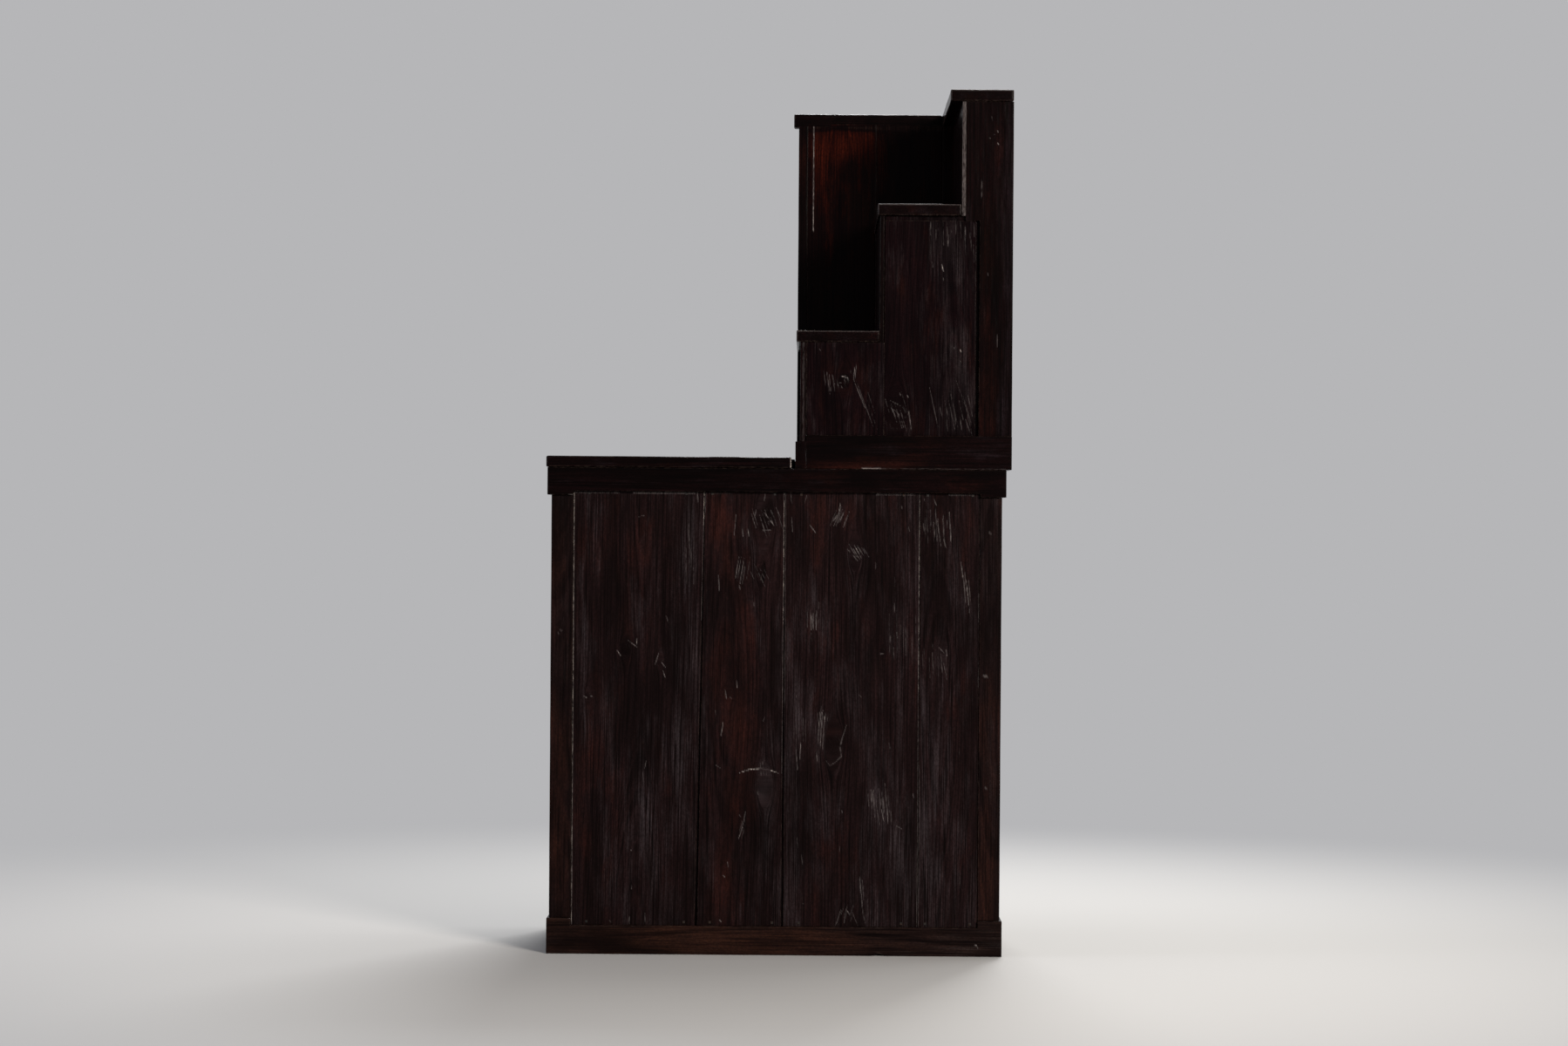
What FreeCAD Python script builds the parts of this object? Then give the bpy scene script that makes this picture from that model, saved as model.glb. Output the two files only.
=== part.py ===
import FreeCAD, Part
import os

# A step chest in two stacked sections, in millimetres, +Z up. The plain back
# faces -Y, the drawers and sliding doors face +Y, and the steps climb to +X.
# The origin is on the floor under the middle of the whole outline. Left is -X
# and right is +X, as they are for someone who looks at the plain back.

# Lower chest, over its corner posts
lower_width = 944.0
lower_depth = 503.0
lower_height = 1019.0

# Bands round its foot and its head
band_board = 30.0
band_height = 58.0
band_proud = 8.5
plinth_height = 75.0
plinth_proud = 5.0
corner_tenon_length = 15.0
corner_tenon_share = 0.34
corner_tenon_height_share = 0.5

# Corner posts and the planks nailed to the back
post_width = 46.0
post_depth = 40.0
post_rebate = 10.0
post_tenon_length = 25.0
post_tenon_thickness = 10.0
post_tenon_shares = (0.6, 0.9)
plank_thickness = 9.0
plank_recess = 3.0
plank_gap = 1.5
plank_head_lap = 8.0
plank_foot_lap = 15.0
plank_width_shares = (0.317, 0.203, 0.333, 0.147)

# Hand-forged nails through the ends of the back planks
nail_shank = 2.6
nail_head = 5.0
nail_head_thickness = 1.0
nail_depth = 17.0
nail_inset_share = 0.12

# Side planks and inner boards of the lower chest
side_thickness = 12.0
side_recess = 3.0
side_split_share = 0.56
bottom_thickness = 20.0
top_thickness = 20.0
shelf_thickness = 15.0
guide_height = 20.0

# Board that covers the lower chest beside the upper one
landing_gap = 7.5
landing_thickness = 24.0
landing_overhang = 3.0

# Front of the lower chest: a wide drawer under two sliding doors
lower_drawer_opening = 240.0
track_height = 30.0
track_lip = 2.5
track_bar = 3.0
track_floor_groove = 3.0
track_head_groove = 9.0
door_thickness = 16.0
door_play = 0.5
door_rest_gap = 0.3
door_head_entry = 4.0
door_overlap = 42.0
door_stile = 42.0
door_rail = 48.0
door_panel_thickness = 6.0
door_panel_entry = 8.0
door_panel_play = 0.5
door_finger_radius = 14.0
door_finger_depth = 3.5

# Drawers
drawer_front_thickness = 20.0
drawer_side = 12.0
drawer_bottom = 8.0
drawer_recess = 2.5
drawer_play = 1.0
drawer_rest_gap = 0.3
drawer_back_gap = 5.0
drawer_side_drop = 10.0

# Iron bails that the drawers are pulled by
bail_span = 90.0
bail_drop = 38.0
bail_rod = 6.0
bail_pin_bend = 5.0
bail_foot_bend = 14.0
bail_play = 0.4
bail_pin_end = 2.0
bail_post_diameter = 11.0
bail_post_reach = 17.0
bail_axis_reach = 11.5
bail_leg_gap = 4.0
bail_plate_thickness = 1.5
bail_plate_height = 30.0
bail_plate_margin = 14.0
lower_bail_share = 0.25
bail_height_share = 0.6

# Upper chest, over its plinth
upper_width = 453.0
upper_depth = 505.0
upper_height = 796.0
upper_overhang = 10.5
upper_plinth_board = 22.5
upper_plinth_height = 70.0
upper_plinth_end_height = 57.0
upper_face_recess = 4.0

# Steps of the upper chest
tread_thickness = 25.0
tread_nose_radius = 4.0
first_tread_height = 290.0
second_tread_height = 556.0
first_tread_start = 0.5
first_riser_start = 9.5
second_tread_start = 169.0
second_riser_start = 175.0
third_tread_start = 320.0
third_riser_start = 345.0
riser_thickness = 8.5

# Boards that close the stepped back of the upper chest
back_board_thickness = 14.0
middle_board_recess = 4.0
middle_board_step = 10.0
middle_board_step_depth = 5.0
first_board_end = 185.0
middle_board_end = 383.0

# Tall front wall of the upper chest and what is behind it
wall_thickness = 24.0
wall_setback = 7.0
wall_post_start = 1.5
wall_plank_thickness = 10.0
wall_plank_gap = 3.0
wall_plank_shares = (0.37, 0.36, 0.27)
cap_overhang = 11.0
upper_side_thickness = 18.0
upper_side_recess = 2.5
upper_floor_thickness = 12.0
dust_board_thickness = 10.0
middle_rail_height = 26.0
upper_drawer_opening = 175.0

# Places of the whole outline, from the lower chest's left back corner post
outline_left = -band_proud - landing_overhang
outline_right = lower_width + band_proud + upper_overhang
upper_left = outline_right - upper_width
outline_back = -band_proud
drawer_face = lower_depth - drawer_recess
bail_tip = drawer_face + bail_plate_thickness + max(bail_post_reach, bail_axis_reach + bail_rod / 2)
outline_front = max(lower_depth + band_proud, bail_tip)
middle_x = (outline_left + outline_right) / 2
middle_y = (outline_back + outline_front) / 2

os.makedirs("parts", exist_ok=True)


def block(x, y, z):
    """A straight board between three pairs of places."""
    corner = FreeCAD.Vector(x[0], y[0], z[0])
    return Part.makeBox(x[1] - x[0], y[1] - y[0], z[1] - z[0], corner)


def rod(start, direction, radius, length):
    return Part.makeCylinder(radius, length, FreeCAD.Vector(*start), FreeCAD.Vector(*direction))


def mirrored(pair, size):
    """The same stretch counted from the other end of a width or depth."""
    return (size - pair[1], size - pair[0])


def keep(name, *solids):
    """Writes one node, moved so that the origin is under the middle of the outline."""
    shape = solids[0] if len(solids) == 1 else Part.makeCompound(list(solids))
    placed = shape.translated(FreeCAD.Vector(-middle_x, -middle_y, 0))
    placed.exportStep("parts/" + name + ".step")


def middle_stretch(pair, share):
    """The middle part of a stretch, as long as the share says."""
    middle = (pair[0] + pair[1]) / 2
    half = (pair[1] - pair[0]) * share / 2
    return (middle - half, middle + half)


# Heights of the lower chest
band_bottom = lower_height - band_height
opening_left = post_width
opening_right = lower_width - post_width
plank_faces = (plank_recess, plank_recess + plank_thickness)
plank_ends = (plinth_height - plank_foot_lap, band_bottom + plank_head_lap)


def ring_boards(proud, heights):
    """Back, front, left and right board of a band, with blind tenons at the corners."""
    across = (-proud, lower_width + proud)
    back_y = (-proud, band_board - proud)
    front_y = mirrored(back_y, lower_depth)
    side_x = {"left": back_y, "right": mirrored(back_y, lower_width)}
    between = (back_y[1], front_y[0])
    boards = {"back": block(across, back_y, heights), "front": block(across, front_y, heights)}
    tenon_z = middle_stretch(heights, corner_tenon_height_share)
    reach = (between[0] - corner_tenon_length, between[1] + corner_tenon_length)
    for side, x in side_x.items():
        tenon = block(middle_stretch(x, corner_tenon_share), reach, tenon_z)
        boards[side] = block(x, between, heights).fuse(tenon)
        boards["back"] = boards["back"].cut(tenon)
        boards["front"] = boards["front"].cut(tenon)
    return boards


def post_places():
    """Where each corner post stands, with its tenon's thickness."""
    left_x = (0, post_width)
    back_y = (0, post_depth)
    for end, y in (("back", back_y), ("front", mirrored(back_y, lower_depth))):
        for side, x in (("left", left_x), ("right", mirrored(left_x, lower_width))):
            yield end, side, x, y


def post_tenon(side, end):
    """The tenon of one post, inside the band boards above and below it."""
    board_y = (0, band_board - band_proud)
    tenon_y = middle_stretch(board_y, post_tenon_thickness / board_y[1])
    if end == "front":
        tenon_y = mirrored(tenon_y, lower_depth)
    tenon_x = tuple(post_width * share for share in post_tenon_shares)
    if side == "right":
        tenon_x = mirrored(tenon_x, lower_width)
    heights = (plinth_height - post_tenon_length, band_bottom + post_tenon_length)
    return block(tenon_x, tenon_y, heights)


def plank_stretches():
    """Left and right edge of each back plank, with the gaps between them taken out."""
    width = opening_right - opening_left
    start = opening_left
    for share in plank_width_shares:
        end = start + width * share
        yield (start + plank_gap / 2, end - plank_gap / 2)
        start = end


def nails():
    """Shank and head of each nail, two at each end of each back plank."""
    heights = (
        (plank_ends[0] + plinth_height) / 2,
        (plank_ends[1] + band_bottom) / 2,
    )
    for left, right in plank_stretches():
        inset = (right - left) * nail_inset_share
        for x in (left + inset, right - inset):
            for z in heights:
                shank = block(
                    (x - nail_shank / 2, x + nail_shank / 2),
                    (plank_faces[0], plank_faces[0] + nail_depth),
                    (z - nail_shank / 2, z + nail_shank / 2),
                )
                head = block(
                    (x - nail_head / 2, x + nail_head / 2),
                    (plank_faces[0] - nail_head_thickness, plank_faces[0]),
                    (z - nail_head / 2, z + nail_head / 2),
                )
                yield shank, head


shanks = Part.makeCompound([shank for shank, head in nails()])
keep("back_nails", *[shank.fuse(head) for shank, head in nails()])

# Plinth and head band of the lower chest: the back boards are rebated for the planks
plank_bed = (-band_proud, plank_faces[1])
plinth = ring_boards(plinth_proud, (0, plinth_height))
band = ring_boards(band_proud, (band_bottom, lower_height))
opening_x = (opening_left, opening_right)
plinth["back"] = plinth["back"].cut(block(opening_x, plank_bed, (plank_ends[0], plinth_height)))
band["back"] = band["back"].cut(block(opening_x, plank_bed, (band_bottom, plank_ends[1])))

# Corner posts: tenoned into both bands, and rebated for the planks at the back
for end, side, x, y in post_places():
    tenon = post_tenon(side, end)
    plinth[end] = plinth[end].cut(tenon)
    band[end] = band[end].cut(tenon)
    post = block(x, y, (plinth_height, band_bottom)).fuse(tenon)
    if end == "back":
        inner = (x[0], x[1] + post_rebate) if side == "left" else (x[0] - post_rebate, x[1])
        ledge_y = (plank_faces[1], post_depth)
        post = post.fuse(block(inner, ledge_y, (plinth_height, band_bottom))).removeSplitter()
    keep("lower_post_" + end + "_" + side, post)

plinth["back"] = plinth["back"].cut(shanks)
band["back"] = band["back"].cut(shanks)
for place in ("back", "front", "left", "right"):
    keep("lower_plinth_" + place, plinth[place])
    keep("lower_band_" + place, band[place])

for number, stretch in enumerate(plank_stretches(), 1):
    plank = block(stretch, plank_faces, plank_ends).cut(shanks)
    keep("lower_back_plank_" + str(number), plank)

# Side planks of the lower chest: two wide boards between the posts on each side
side_y = (post_depth, lower_depth - post_depth)
side_split = side_y[0] + (side_y[1] - side_y[0]) * side_split_share
side_faces = (side_recess, side_recess + side_thickness)
for side, x in (("left", side_faces), ("right", mirrored(side_faces, lower_width))):
    planks = [
        block(x, y, (plinth_height, band_bottom))
        for y in ((side_y[0], side_split), (side_split, side_y[1]))
    ]
    keep("lower_side_planks_" + side, *planks)

# Boards inside the bands: the floor that the drawer runs on, and the top
plinth_inside = band_board - plinth_proud
band_inside = band_board - band_proud
floor_heights = (plinth_height - bottom_thickness, plinth_height)
top_heights = (lower_height - top_thickness, lower_height)
floor_board = block(
    (plinth_inside, lower_width - plinth_inside),
    (plinth_inside, lower_depth - plinth_inside),
    floor_heights,
)
top_board = block(
    (band_inside, lower_width - band_inside),
    (band_inside, lower_depth - band_inside),
    top_heights,
)
keep("lower_floor_board", floor_board)
keep("lower_top_board", top_board)

# Guides that keep the wide drawer straight, on the floor beside it
guide_heights = (plinth_height, plinth_height + guide_height)
guide_x = (side_faces[1], post_width)
guides = [
    block(guide_x, side_y, guide_heights),
    block(mirrored(guide_x, lower_width), side_y, guide_heights),
]
keep("lower_drawer_guides", *guides)

# Tracks of the sliding doors, and the shelf behind the lower one
rail_bottom = plinth_height + lower_drawer_opening
rail_top = rail_bottom + track_height
doors_top = band_bottom - track_height
groove = door_thickness + 2 * door_play
track_y = (lower_depth - post_depth, lower_depth)
outer_groove = (lower_depth - track_lip - groove, lower_depth - track_lip)
inner_groove = (outer_groove[0] - track_bar - groove, outer_groove[0] - track_bar)
floor_track = block(opening_x, track_y, (rail_bottom, rail_top))
head_track = block(opening_x, track_y, (doors_top, band_bottom))
for groove_y in (outer_groove, inner_groove):
    floor_track = floor_track.cut(block(opening_x, groove_y, (rail_top - track_floor_groove, rail_top)))
    head_track = head_track.cut(block(opening_x, groove_y, (doors_top, doors_top + track_head_groove)))
keep("lower_floor_track", floor_track)
keep("lower_head_track", head_track)

shelf_heights = (rail_top - track_floor_groove - shelf_thickness, rail_top - track_floor_groove)
shelf = block((side_faces[1], lower_width - side_faces[1]), (plank_faces[1], track_y[0]), shelf_heights)
for corner in ((0, post_width + post_rebate), (lower_width - post_width - post_rebate, lower_width)):
    shelf = shelf.cut(block(corner, (0, post_depth), shelf_heights))
keep("lower_shelf", shelf)

# Landing board: lies on the left half of the lower chest
landing = block(
    (outline_left, upper_left - landing_gap),
    (-band_proud, lower_depth + band_proud),
    (lower_height, lower_height + landing_thickness),
)


def eased_top(board, height, radius):
    """Rounds the upper edges of a board, as feet and hands have worn them."""
    edges = [
        edge for edge in board.Edges
        if abs(edge.BoundBox.ZMin - height) < radius and abs(edge.BoundBox.ZMax - height) < radius
    ]
    return board.makeFillet(radius, edges)


keep("landing_board", eased_top(landing, lower_height + landing_thickness, tread_nose_radius))

# Sliding doors: a grooved frame round a thin panel, with a round finger hollow
door_width = (opening_right - opening_left + door_overlap) / 2 - door_play
door_heights = (rail_top - track_floor_groove + door_rest_gap, doors_top + door_head_entry)
panel_heights = (
    door_heights[0] + door_rail - door_panel_entry,
    door_heights[1] - door_rail + door_panel_entry,
)


def door(name, x, groove_y, finger_x):
    """One sliding door between two places along its track."""
    y = (groove_y[0] + door_play, groove_y[1] - door_play)
    panel_y = middle_stretch(y, door_panel_thickness / door_thickness)
    panel_x = (x[0] + door_stile - door_panel_entry, x[1] - door_stile + door_panel_entry)
    panel_slot = block(panel_x, panel_y, panel_heights)
    members = [
        block((x[0], x[0] + door_stile), y, door_heights),
        block((x[1] - door_stile, x[1]), y, door_heights),
        block((x[0] + door_stile, x[1] - door_stile), y, (door_heights[0], door_heights[0] + door_rail)),
        block((x[0] + door_stile, x[1] - door_stile), y, (door_heights[1] - door_rail, door_heights[1])),
    ]
    middle_z = (door_heights[0] + door_heights[1]) / 2
    hollow_start = (finger_x, y[1] - door_finger_depth, middle_z)
    hollow = rod(hollow_start, (0, 1, 0), door_finger_radius, door_finger_depth)
    frame = [member.cut(panel_slot).cut(hollow) for member in members]
    panel = block(
        (panel_x[0] + door_panel_play, panel_x[1] - door_panel_play),
        panel_y,
        (panel_heights[0], panel_heights[1] - door_panel_play),
    )
    keep(name + "_frame", *frame)
    keep(name + "_panel", panel)


left_door_x = (opening_left + door_play, opening_left + door_play + door_width)
right_door_x = mirrored(left_door_x, lower_width)
door("door_left", left_door_x, outer_groove, left_door_x[0] + door_stile / 2)
door("door_right", right_door_x, inner_groove, right_door_x[1] - door_stile / 2)


def drawer(name, opening_x, opening_z, face_y, back_y, bail_places):
    """A drawer: front, four-board box, iron plates with posts, and its bails."""
    x = (opening_x[0] + drawer_play, opening_x[1] - drawer_play)
    z = (opening_z[0] + drawer_rest_gap, opening_z[1] - drawer_play)
    inner_y = face_y - drawer_front_thickness
    box_y = (back_y + drawer_back_gap, inner_y)
    side_z = (z[0] + drawer_bottom, z[1] - drawer_side_drop)
    boards = [
        block((x[0], x[0] + drawer_side), box_y, side_z),
        block((x[1] - drawer_side, x[1]), box_y, side_z),
        block((x[0] + drawer_side, x[1] - drawer_side), (box_y[0], box_y[0] + drawer_side), side_z),
        block(x, box_y, (z[0], side_z[0])),
    ]
    keep(name + "_box", *boards)
    middle_z = z[0] + (z[1] - z[0]) * bail_height_share
    plates = []
    stems = []
    for place in bail_places:
        middle = x[0] + (x[1] - x[0]) * place
        plate, posts, stem = bail_mount(middle, face_y, middle_z)
        plates += [plate, *posts]
        stems += stem
    front = block(x, (inner_y, face_y), z).cut(Part.makeCompound(stems))
    keep(name + "_front", front)
    keep(name + "_bail_posts", *plates)
    ends = ("",) if len(bail_places) == 1 else ("_left", "_right")
    for end, place in zip(ends, bail_places):
        middle = x[0] + (x[1] - x[0]) * place
        keep(name + "_bail" + end, bail(middle, face_y + bail_plate_thickness + bail_axis_reach, middle_z))


def bail_mount(x, face_y, z):
    """The iron plate on a drawer front, with the two posts that hold the bail's pins."""
    half = bail_span / 2
    outer = (x - half - bail_plate_margin, x + half + bail_plate_margin)
    plate_z = (z - bail_plate_height / 2, z + bail_plate_height / 2)
    plate = block(outer, (face_y, face_y + bail_plate_thickness), plate_z)
    posts = []
    stems = []
    plate_face = face_y + bail_plate_thickness
    hole_start = (outer[0], plate_face + bail_axis_reach, z)
    pin_hole = rod(hole_start, (1, 0, 0), bail_rod / 2 + bail_play, outer[1] - outer[0])
    for post_x in (x - half, x + half):
        stem_length = drawer_front_thickness + bail_plate_thickness
        stem = rod((post_x, face_y - drawer_front_thickness, z), (0, 1, 0), bail_rod / 2, stem_length)
        head = rod((post_x, plate_face, z), (0, 1, 0), bail_post_diameter / 2, bail_post_reach)
        plate = plate.cut(stem)
        posts.append(head.cut(pin_hole).fuse(stem).removeSplitter())
        stems.append(stem)
    return plate, posts, stems


def bail(x, y, z):
    """A round iron rod bent to a U, its two pins turned out into the posts."""
    leg = bail_span / 2 - bail_post_diameter / 2 - bail_leg_gap - bail_rod / 2
    pin = bail_span / 2 + bail_post_diameter / 2 + bail_pin_end
    corners = [(-pin, 0), (-leg, 0), (-leg, -bail_drop), (leg, -bail_drop), (leg, 0), (pin, 0)]
    bends = [bail_pin_bend, bail_foot_bend, bail_foot_bend, bail_pin_bend]
    points = [FreeCAD.Vector(x + across, y, z + down) for across, down in corners]
    edges = []
    start = points[0]
    for before, corner, after, bend in zip(points, points[1:], points[2:], bends):
        into = (corner - before).normalize()
        out = (after - corner).normalize()
        arc_start = corner - into * bend
        arc_end = corner + out * bend
        centre = arc_start + out * bend
        middle = centre + (corner - centre).normalize() * bend
        edges.append(Part.LineSegment(start, arc_start).toShape())
        edges.append(Part.Arc(arc_start, middle, arc_end).toShape())
        start = arc_end
    edges.append(Part.LineSegment(start, points[-1]).toShape())
    path = Part.Wire(edges)
    outline = Part.Wire([Part.makeCircle(bail_rod / 2, points[0], FreeCAD.Vector(1, 0, 0))])
    return path.makePipeShell([outline], True, False)


drawer(
    "lower_drawer",
    opening_x,
    (plinth_height, rail_bottom),
    drawer_face,
    post_depth,
    (lower_bail_share, 1 - lower_bail_share),
)

# Upper chest: places counted from the same corner as the lower one
upper_back = outline_back
upper_front = upper_back + upper_depth
upper_base = lower_height
upper_face = upper_back + upper_face_recess
wall_y = (upper_front - wall_setback - wall_thickness, upper_front - wall_setback)
plinth_top = upper_base + upper_plinth_height
plinth_end_top = upper_base + upper_plinth_end_height
tread_tops = (
    upper_base + first_tread_height,
    upper_base + second_tread_height,
    upper_base + upper_height,
)
first_riser = (upper_left + first_riser_start, upper_left + upper_plinth_board)
second_riser = (upper_left + second_riser_start, upper_left + second_riser_start + riser_thickness)
third_riser = (upper_left + third_riser_start, upper_left + third_riser_start + riser_thickness)

# Its plinth: the left board runs through, so that its end grain shows at the back
plinth_x = (upper_left + upper_plinth_board, outline_right)
side_plinth_y = (upper_back + upper_plinth_board, upper_front - upper_plinth_board)
plinth_end = block((upper_left, plinth_x[0]), (upper_back, upper_front), (upper_base, plinth_end_top))
keep("upper_plinth_left", plinth_end)
keep("upper_plinth_back", block(plinth_x, (upper_back, side_plinth_y[0]), (upper_base, plinth_top)))
keep("upper_plinth_front", block(plinth_x, (side_plinth_y[1], upper_front), (upper_base, plinth_top)))
right_plinth_x = (outline_right - upper_plinth_board, outline_right)
keep("upper_plinth_right", block(right_plinth_x, side_plinth_y, (upper_base, plinth_top)))
upper_floor_x = (plinth_x[0], right_plinth_x[0])
upper_floor_z = (plinth_top - upper_floor_thickness, plinth_top)
keep("upper_floor_board", block(upper_floor_x, side_plinth_y, upper_floor_z))

# Treads and risers: each tread runs from the back to the tall front wall
tread_y = (upper_back, wall_y[0])
tread_starts = (
    upper_left + first_tread_start,
    upper_left + second_tread_start,
    upper_left + third_tread_start,
)
tread_ends = (second_riser[0], third_riser[0], outline_right)
for number, start, end, top in zip((1, 2, 3), tread_starts, tread_ends, tread_tops):
    depth_y = (upper_back, upper_front) if number == len(tread_tops) else tread_y
    board = block((start, end), depth_y, (top - tread_thickness, top))
    keep("tread_" + str(number), eased_top(board, top, tread_nose_radius))

riser_y = (upper_face, wall_y[0])
tread_undersides = [top - tread_thickness for top in tread_tops]
keep("riser_1", block(first_riser, riser_y, (plinth_end_top, tread_undersides[0])))
keep("riser_2", block(second_riser, riser_y, (tread_undersides[0], tread_undersides[1])))
keep("riser_3", block(third_riser, riser_y, (tread_undersides[1], tread_undersides[2])))

# Boards of the stepped back: low, middle and the tall one at the right
first_board_x = (first_riser[1], upper_left + first_board_end)
middle_board_x = (first_board_x[1], upper_left + middle_board_end)
low_board_y = (upper_face, upper_face + back_board_thickness)
middle_board_y = (low_board_y[0] + middle_board_recess, low_board_y[1] + middle_board_recess)
low_board = block(first_board_x, low_board_y, (plinth_top, tread_undersides[0]))
step_z = (tread_undersides[1] - middle_board_step, tread_undersides[1])
step_y = (middle_board_y[0] + middle_board_step_depth, middle_board_y[1])
middle_board = block(middle_board_x, middle_board_y, (plinth_top, step_z[0]))
middle_board = middle_board.fuse(block((middle_board_x[0], third_riser[1]), step_y, step_z)).removeSplitter()
tall_board = block((third_riser[1], outline_right), low_board_y, (plinth_top, tread_undersides[2]))
tall_cut = block((third_riser[1], middle_board_x[1]), low_board_y, (plinth_top, step_z[0]))
keep("upper_back_board_low", low_board)
keep("upper_back_board_middle", middle_board)
keep("upper_back_board_tall", tall_board.cut(tall_cut))

# Right side of the upper chest
right_side_x = (
    outline_right - upper_side_recess - upper_side_thickness,
    outline_right - upper_side_recess,
)
right_side_y = (low_board_y[1], wall_y[0])
keep("upper_side_right", block(right_side_x, right_side_y, (plinth_top, tread_undersides[2])))

# Tall front wall: posts, rail over the drawer, planks and the cap over the stair well
left_post_x = (upper_left + wall_post_start, plinth_x[0])
right_post_x = (right_side_x[0], outline_right)
wall_top = tread_undersides[2]
rail_z = (plinth_top + upper_drawer_opening, plinth_top + upper_drawer_opening + middle_rail_height)
keep("wall_post_left", block(left_post_x, wall_y, (plinth_end_top, wall_top)))
keep("wall_post_right", block(right_post_x, wall_y, (plinth_top, wall_top)))
keep("wall_rail", block((left_post_x[1], right_post_x[0]), wall_y, rail_z))
wall_plank_y = (wall_y[0], wall_y[0] + wall_plank_thickness)
wall_planks = []
plank_start = left_post_x[1] + wall_plank_gap
wall_planks_width = right_post_x[0] - plank_start
for share in wall_plank_shares:
    plank_end = plank_start + wall_planks_width * share
    wall_planks.append(block((plank_start, plank_end), wall_plank_y, (rail_z[1], wall_top)))
    plank_start = plank_end
keep("wall_planks", *wall_planks)
cap = block(
    (left_post_x[0] - cap_overhang, tread_starts[2]),
    (wall_y[0], upper_front),
    (wall_top, tread_tops[2]),
)
keep("wall_cap", eased_top(cap, tread_tops[2], tread_nose_radius))

# Drawer of the upper chest, under the dust board
dust_z = (rail_z[0], rail_z[0] + dust_board_thickness)
dust_board = block((first_riser[1], right_side_x[0]), (middle_board_y[1], wall_y[0]), dust_z)
keep("upper_dust_board", dust_board)
drawer(
    "upper_drawer",
    (left_post_x[1], right_post_x[0]),
    (plinth_top, rail_z[0]),
    wall_y[1] - drawer_recess,
    middle_board_y[1],
    (1 / 2,),
)
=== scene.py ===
import math

import bpy
import numpy as np
from mathutils import Matrix, Vector


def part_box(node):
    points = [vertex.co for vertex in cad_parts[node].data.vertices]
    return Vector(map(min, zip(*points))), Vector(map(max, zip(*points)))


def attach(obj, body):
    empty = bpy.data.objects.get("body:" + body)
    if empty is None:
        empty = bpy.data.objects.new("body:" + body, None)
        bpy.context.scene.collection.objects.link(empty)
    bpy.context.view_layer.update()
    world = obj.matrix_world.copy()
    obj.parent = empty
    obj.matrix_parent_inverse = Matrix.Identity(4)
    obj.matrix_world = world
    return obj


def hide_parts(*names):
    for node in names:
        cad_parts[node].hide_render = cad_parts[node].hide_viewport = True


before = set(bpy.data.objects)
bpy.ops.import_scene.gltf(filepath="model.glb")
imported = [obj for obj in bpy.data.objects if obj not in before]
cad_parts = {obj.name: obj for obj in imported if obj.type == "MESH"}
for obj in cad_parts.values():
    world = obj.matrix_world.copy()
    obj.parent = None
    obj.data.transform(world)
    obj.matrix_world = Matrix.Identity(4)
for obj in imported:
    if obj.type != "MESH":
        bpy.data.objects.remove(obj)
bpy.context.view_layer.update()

# Plinth of the lower chest
# Four cedar boards on edge, blind-tenoned at the corners; the back one is rebated for the planks.
# Hand-planed and brushed with dark urushi lacquer, which is rubbed through along the arrises.
mm = 0.001
board_arris = 1.7 * mm
board_ripple = 0.3 * mm
chest_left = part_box("lower_band_back")[0][0]
plinth_chips = ((700, 0, 15, 5), (974, 0, 14, 6))
chipped_depth = 14 * mm
plinth_line_pieces = ((52, 83, 0.8), (213, 316, 1.0), (318, 344, 0.5), (356, 372, 0.8), (772, 835, 1.0))
plinth_rust = (
    (150, 40, 260, 60, 0.8), (400, 35, 260, 40, 1.3), (520, 50, 60, 20, 1.0), (300, 20, 200, 30, 0.8),
)


def corners(node_name):
    """Lowest and highest corner of a node, as arrays in metres."""
    low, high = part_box(node_name)
    return np.array(low), np.array(high)


def from_left(x):
    """A place in millimetres from the left end of the head band, in the scene's metres."""
    return chest_left + x * mm


def hills(seed, u, v):
    """Smooth random hills from 0 to 1, about one to each unit of u and v."""
    table = np.random.RandomState(seed).rand(64, 64)
    u, v = np.broadcast_arrays(np.asarray(u, float), np.asarray(v, float))
    i, j = np.floor(u).astype(int), np.floor(v).astype(int)
    s, t = u - i, v - j
    s, t = s * s * (3 - 2 * s), t * t * (3 - 2 * t)
    near = table[i % 64, j % 64] * (1 - s) + table[(i + 1) % 64, j % 64] * s
    far = table[i % 64, (j + 1) % 64] * (1 - s) + table[(i + 1) % 64, (j + 1) % 64] * s
    return near * (1 - t) + far * t


def rows(boxes, cuts, axis, step, arris, close):
    """Places along one axis: every edge, two rows beside it for its round, and even steps between."""
    low = min(box[0][axis] for box in boxes)
    high = max(box[1][axis] for box in boxes)
    edges = {round(float(corner[axis]), 6) for box in [*boxes, *cuts] for corner in box}
    edges = sorted(edge for edge in edges if low - 1e-6 <= edge <= high + 1e-6)
    places = []
    for start, end in zip(edges, edges[1:]):
        beside = [reach for reach in (0.617 * arris, arris) if reach < 0.3 * (end - start)]
        places += [start, *(start + reach for reach in beside), *(end - reach for reach in beside)]
        inner = beside[-1] if beside else 0
        count = max(1, round((end - start - 2 * inner) / step))
        places += list(np.linspace(start + inner, end - inner, count + 1)[1:-1])
    for first, last, fine in close:
        places = [place for place in places if not first < place < last]
        places += list(np.linspace(first, last, round((last - first) / fine) + 1))
    return np.unique(np.round(places + [edges[-1]], 7))


def outline(quads):
    """The loops of points round a patch of faces, in the faces' own direction."""
    steps = set()
    for a, b in ((0, 1), (1, 2), (2, 3), (3, 0)):
        steps.update((int(p), int(q)) for p, q in zip(quads[:, a], quads[:, b]))
    following = {p: q for p, q in sorted(steps) if (q, p) not in steps}
    loops = []
    while following:
        first, point = following.popitem()
        loop = [first]
        while point != first:
            loop.append(point)
            point = following.pop(point)
        loops.append(np.array(loop))
    return loops


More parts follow.
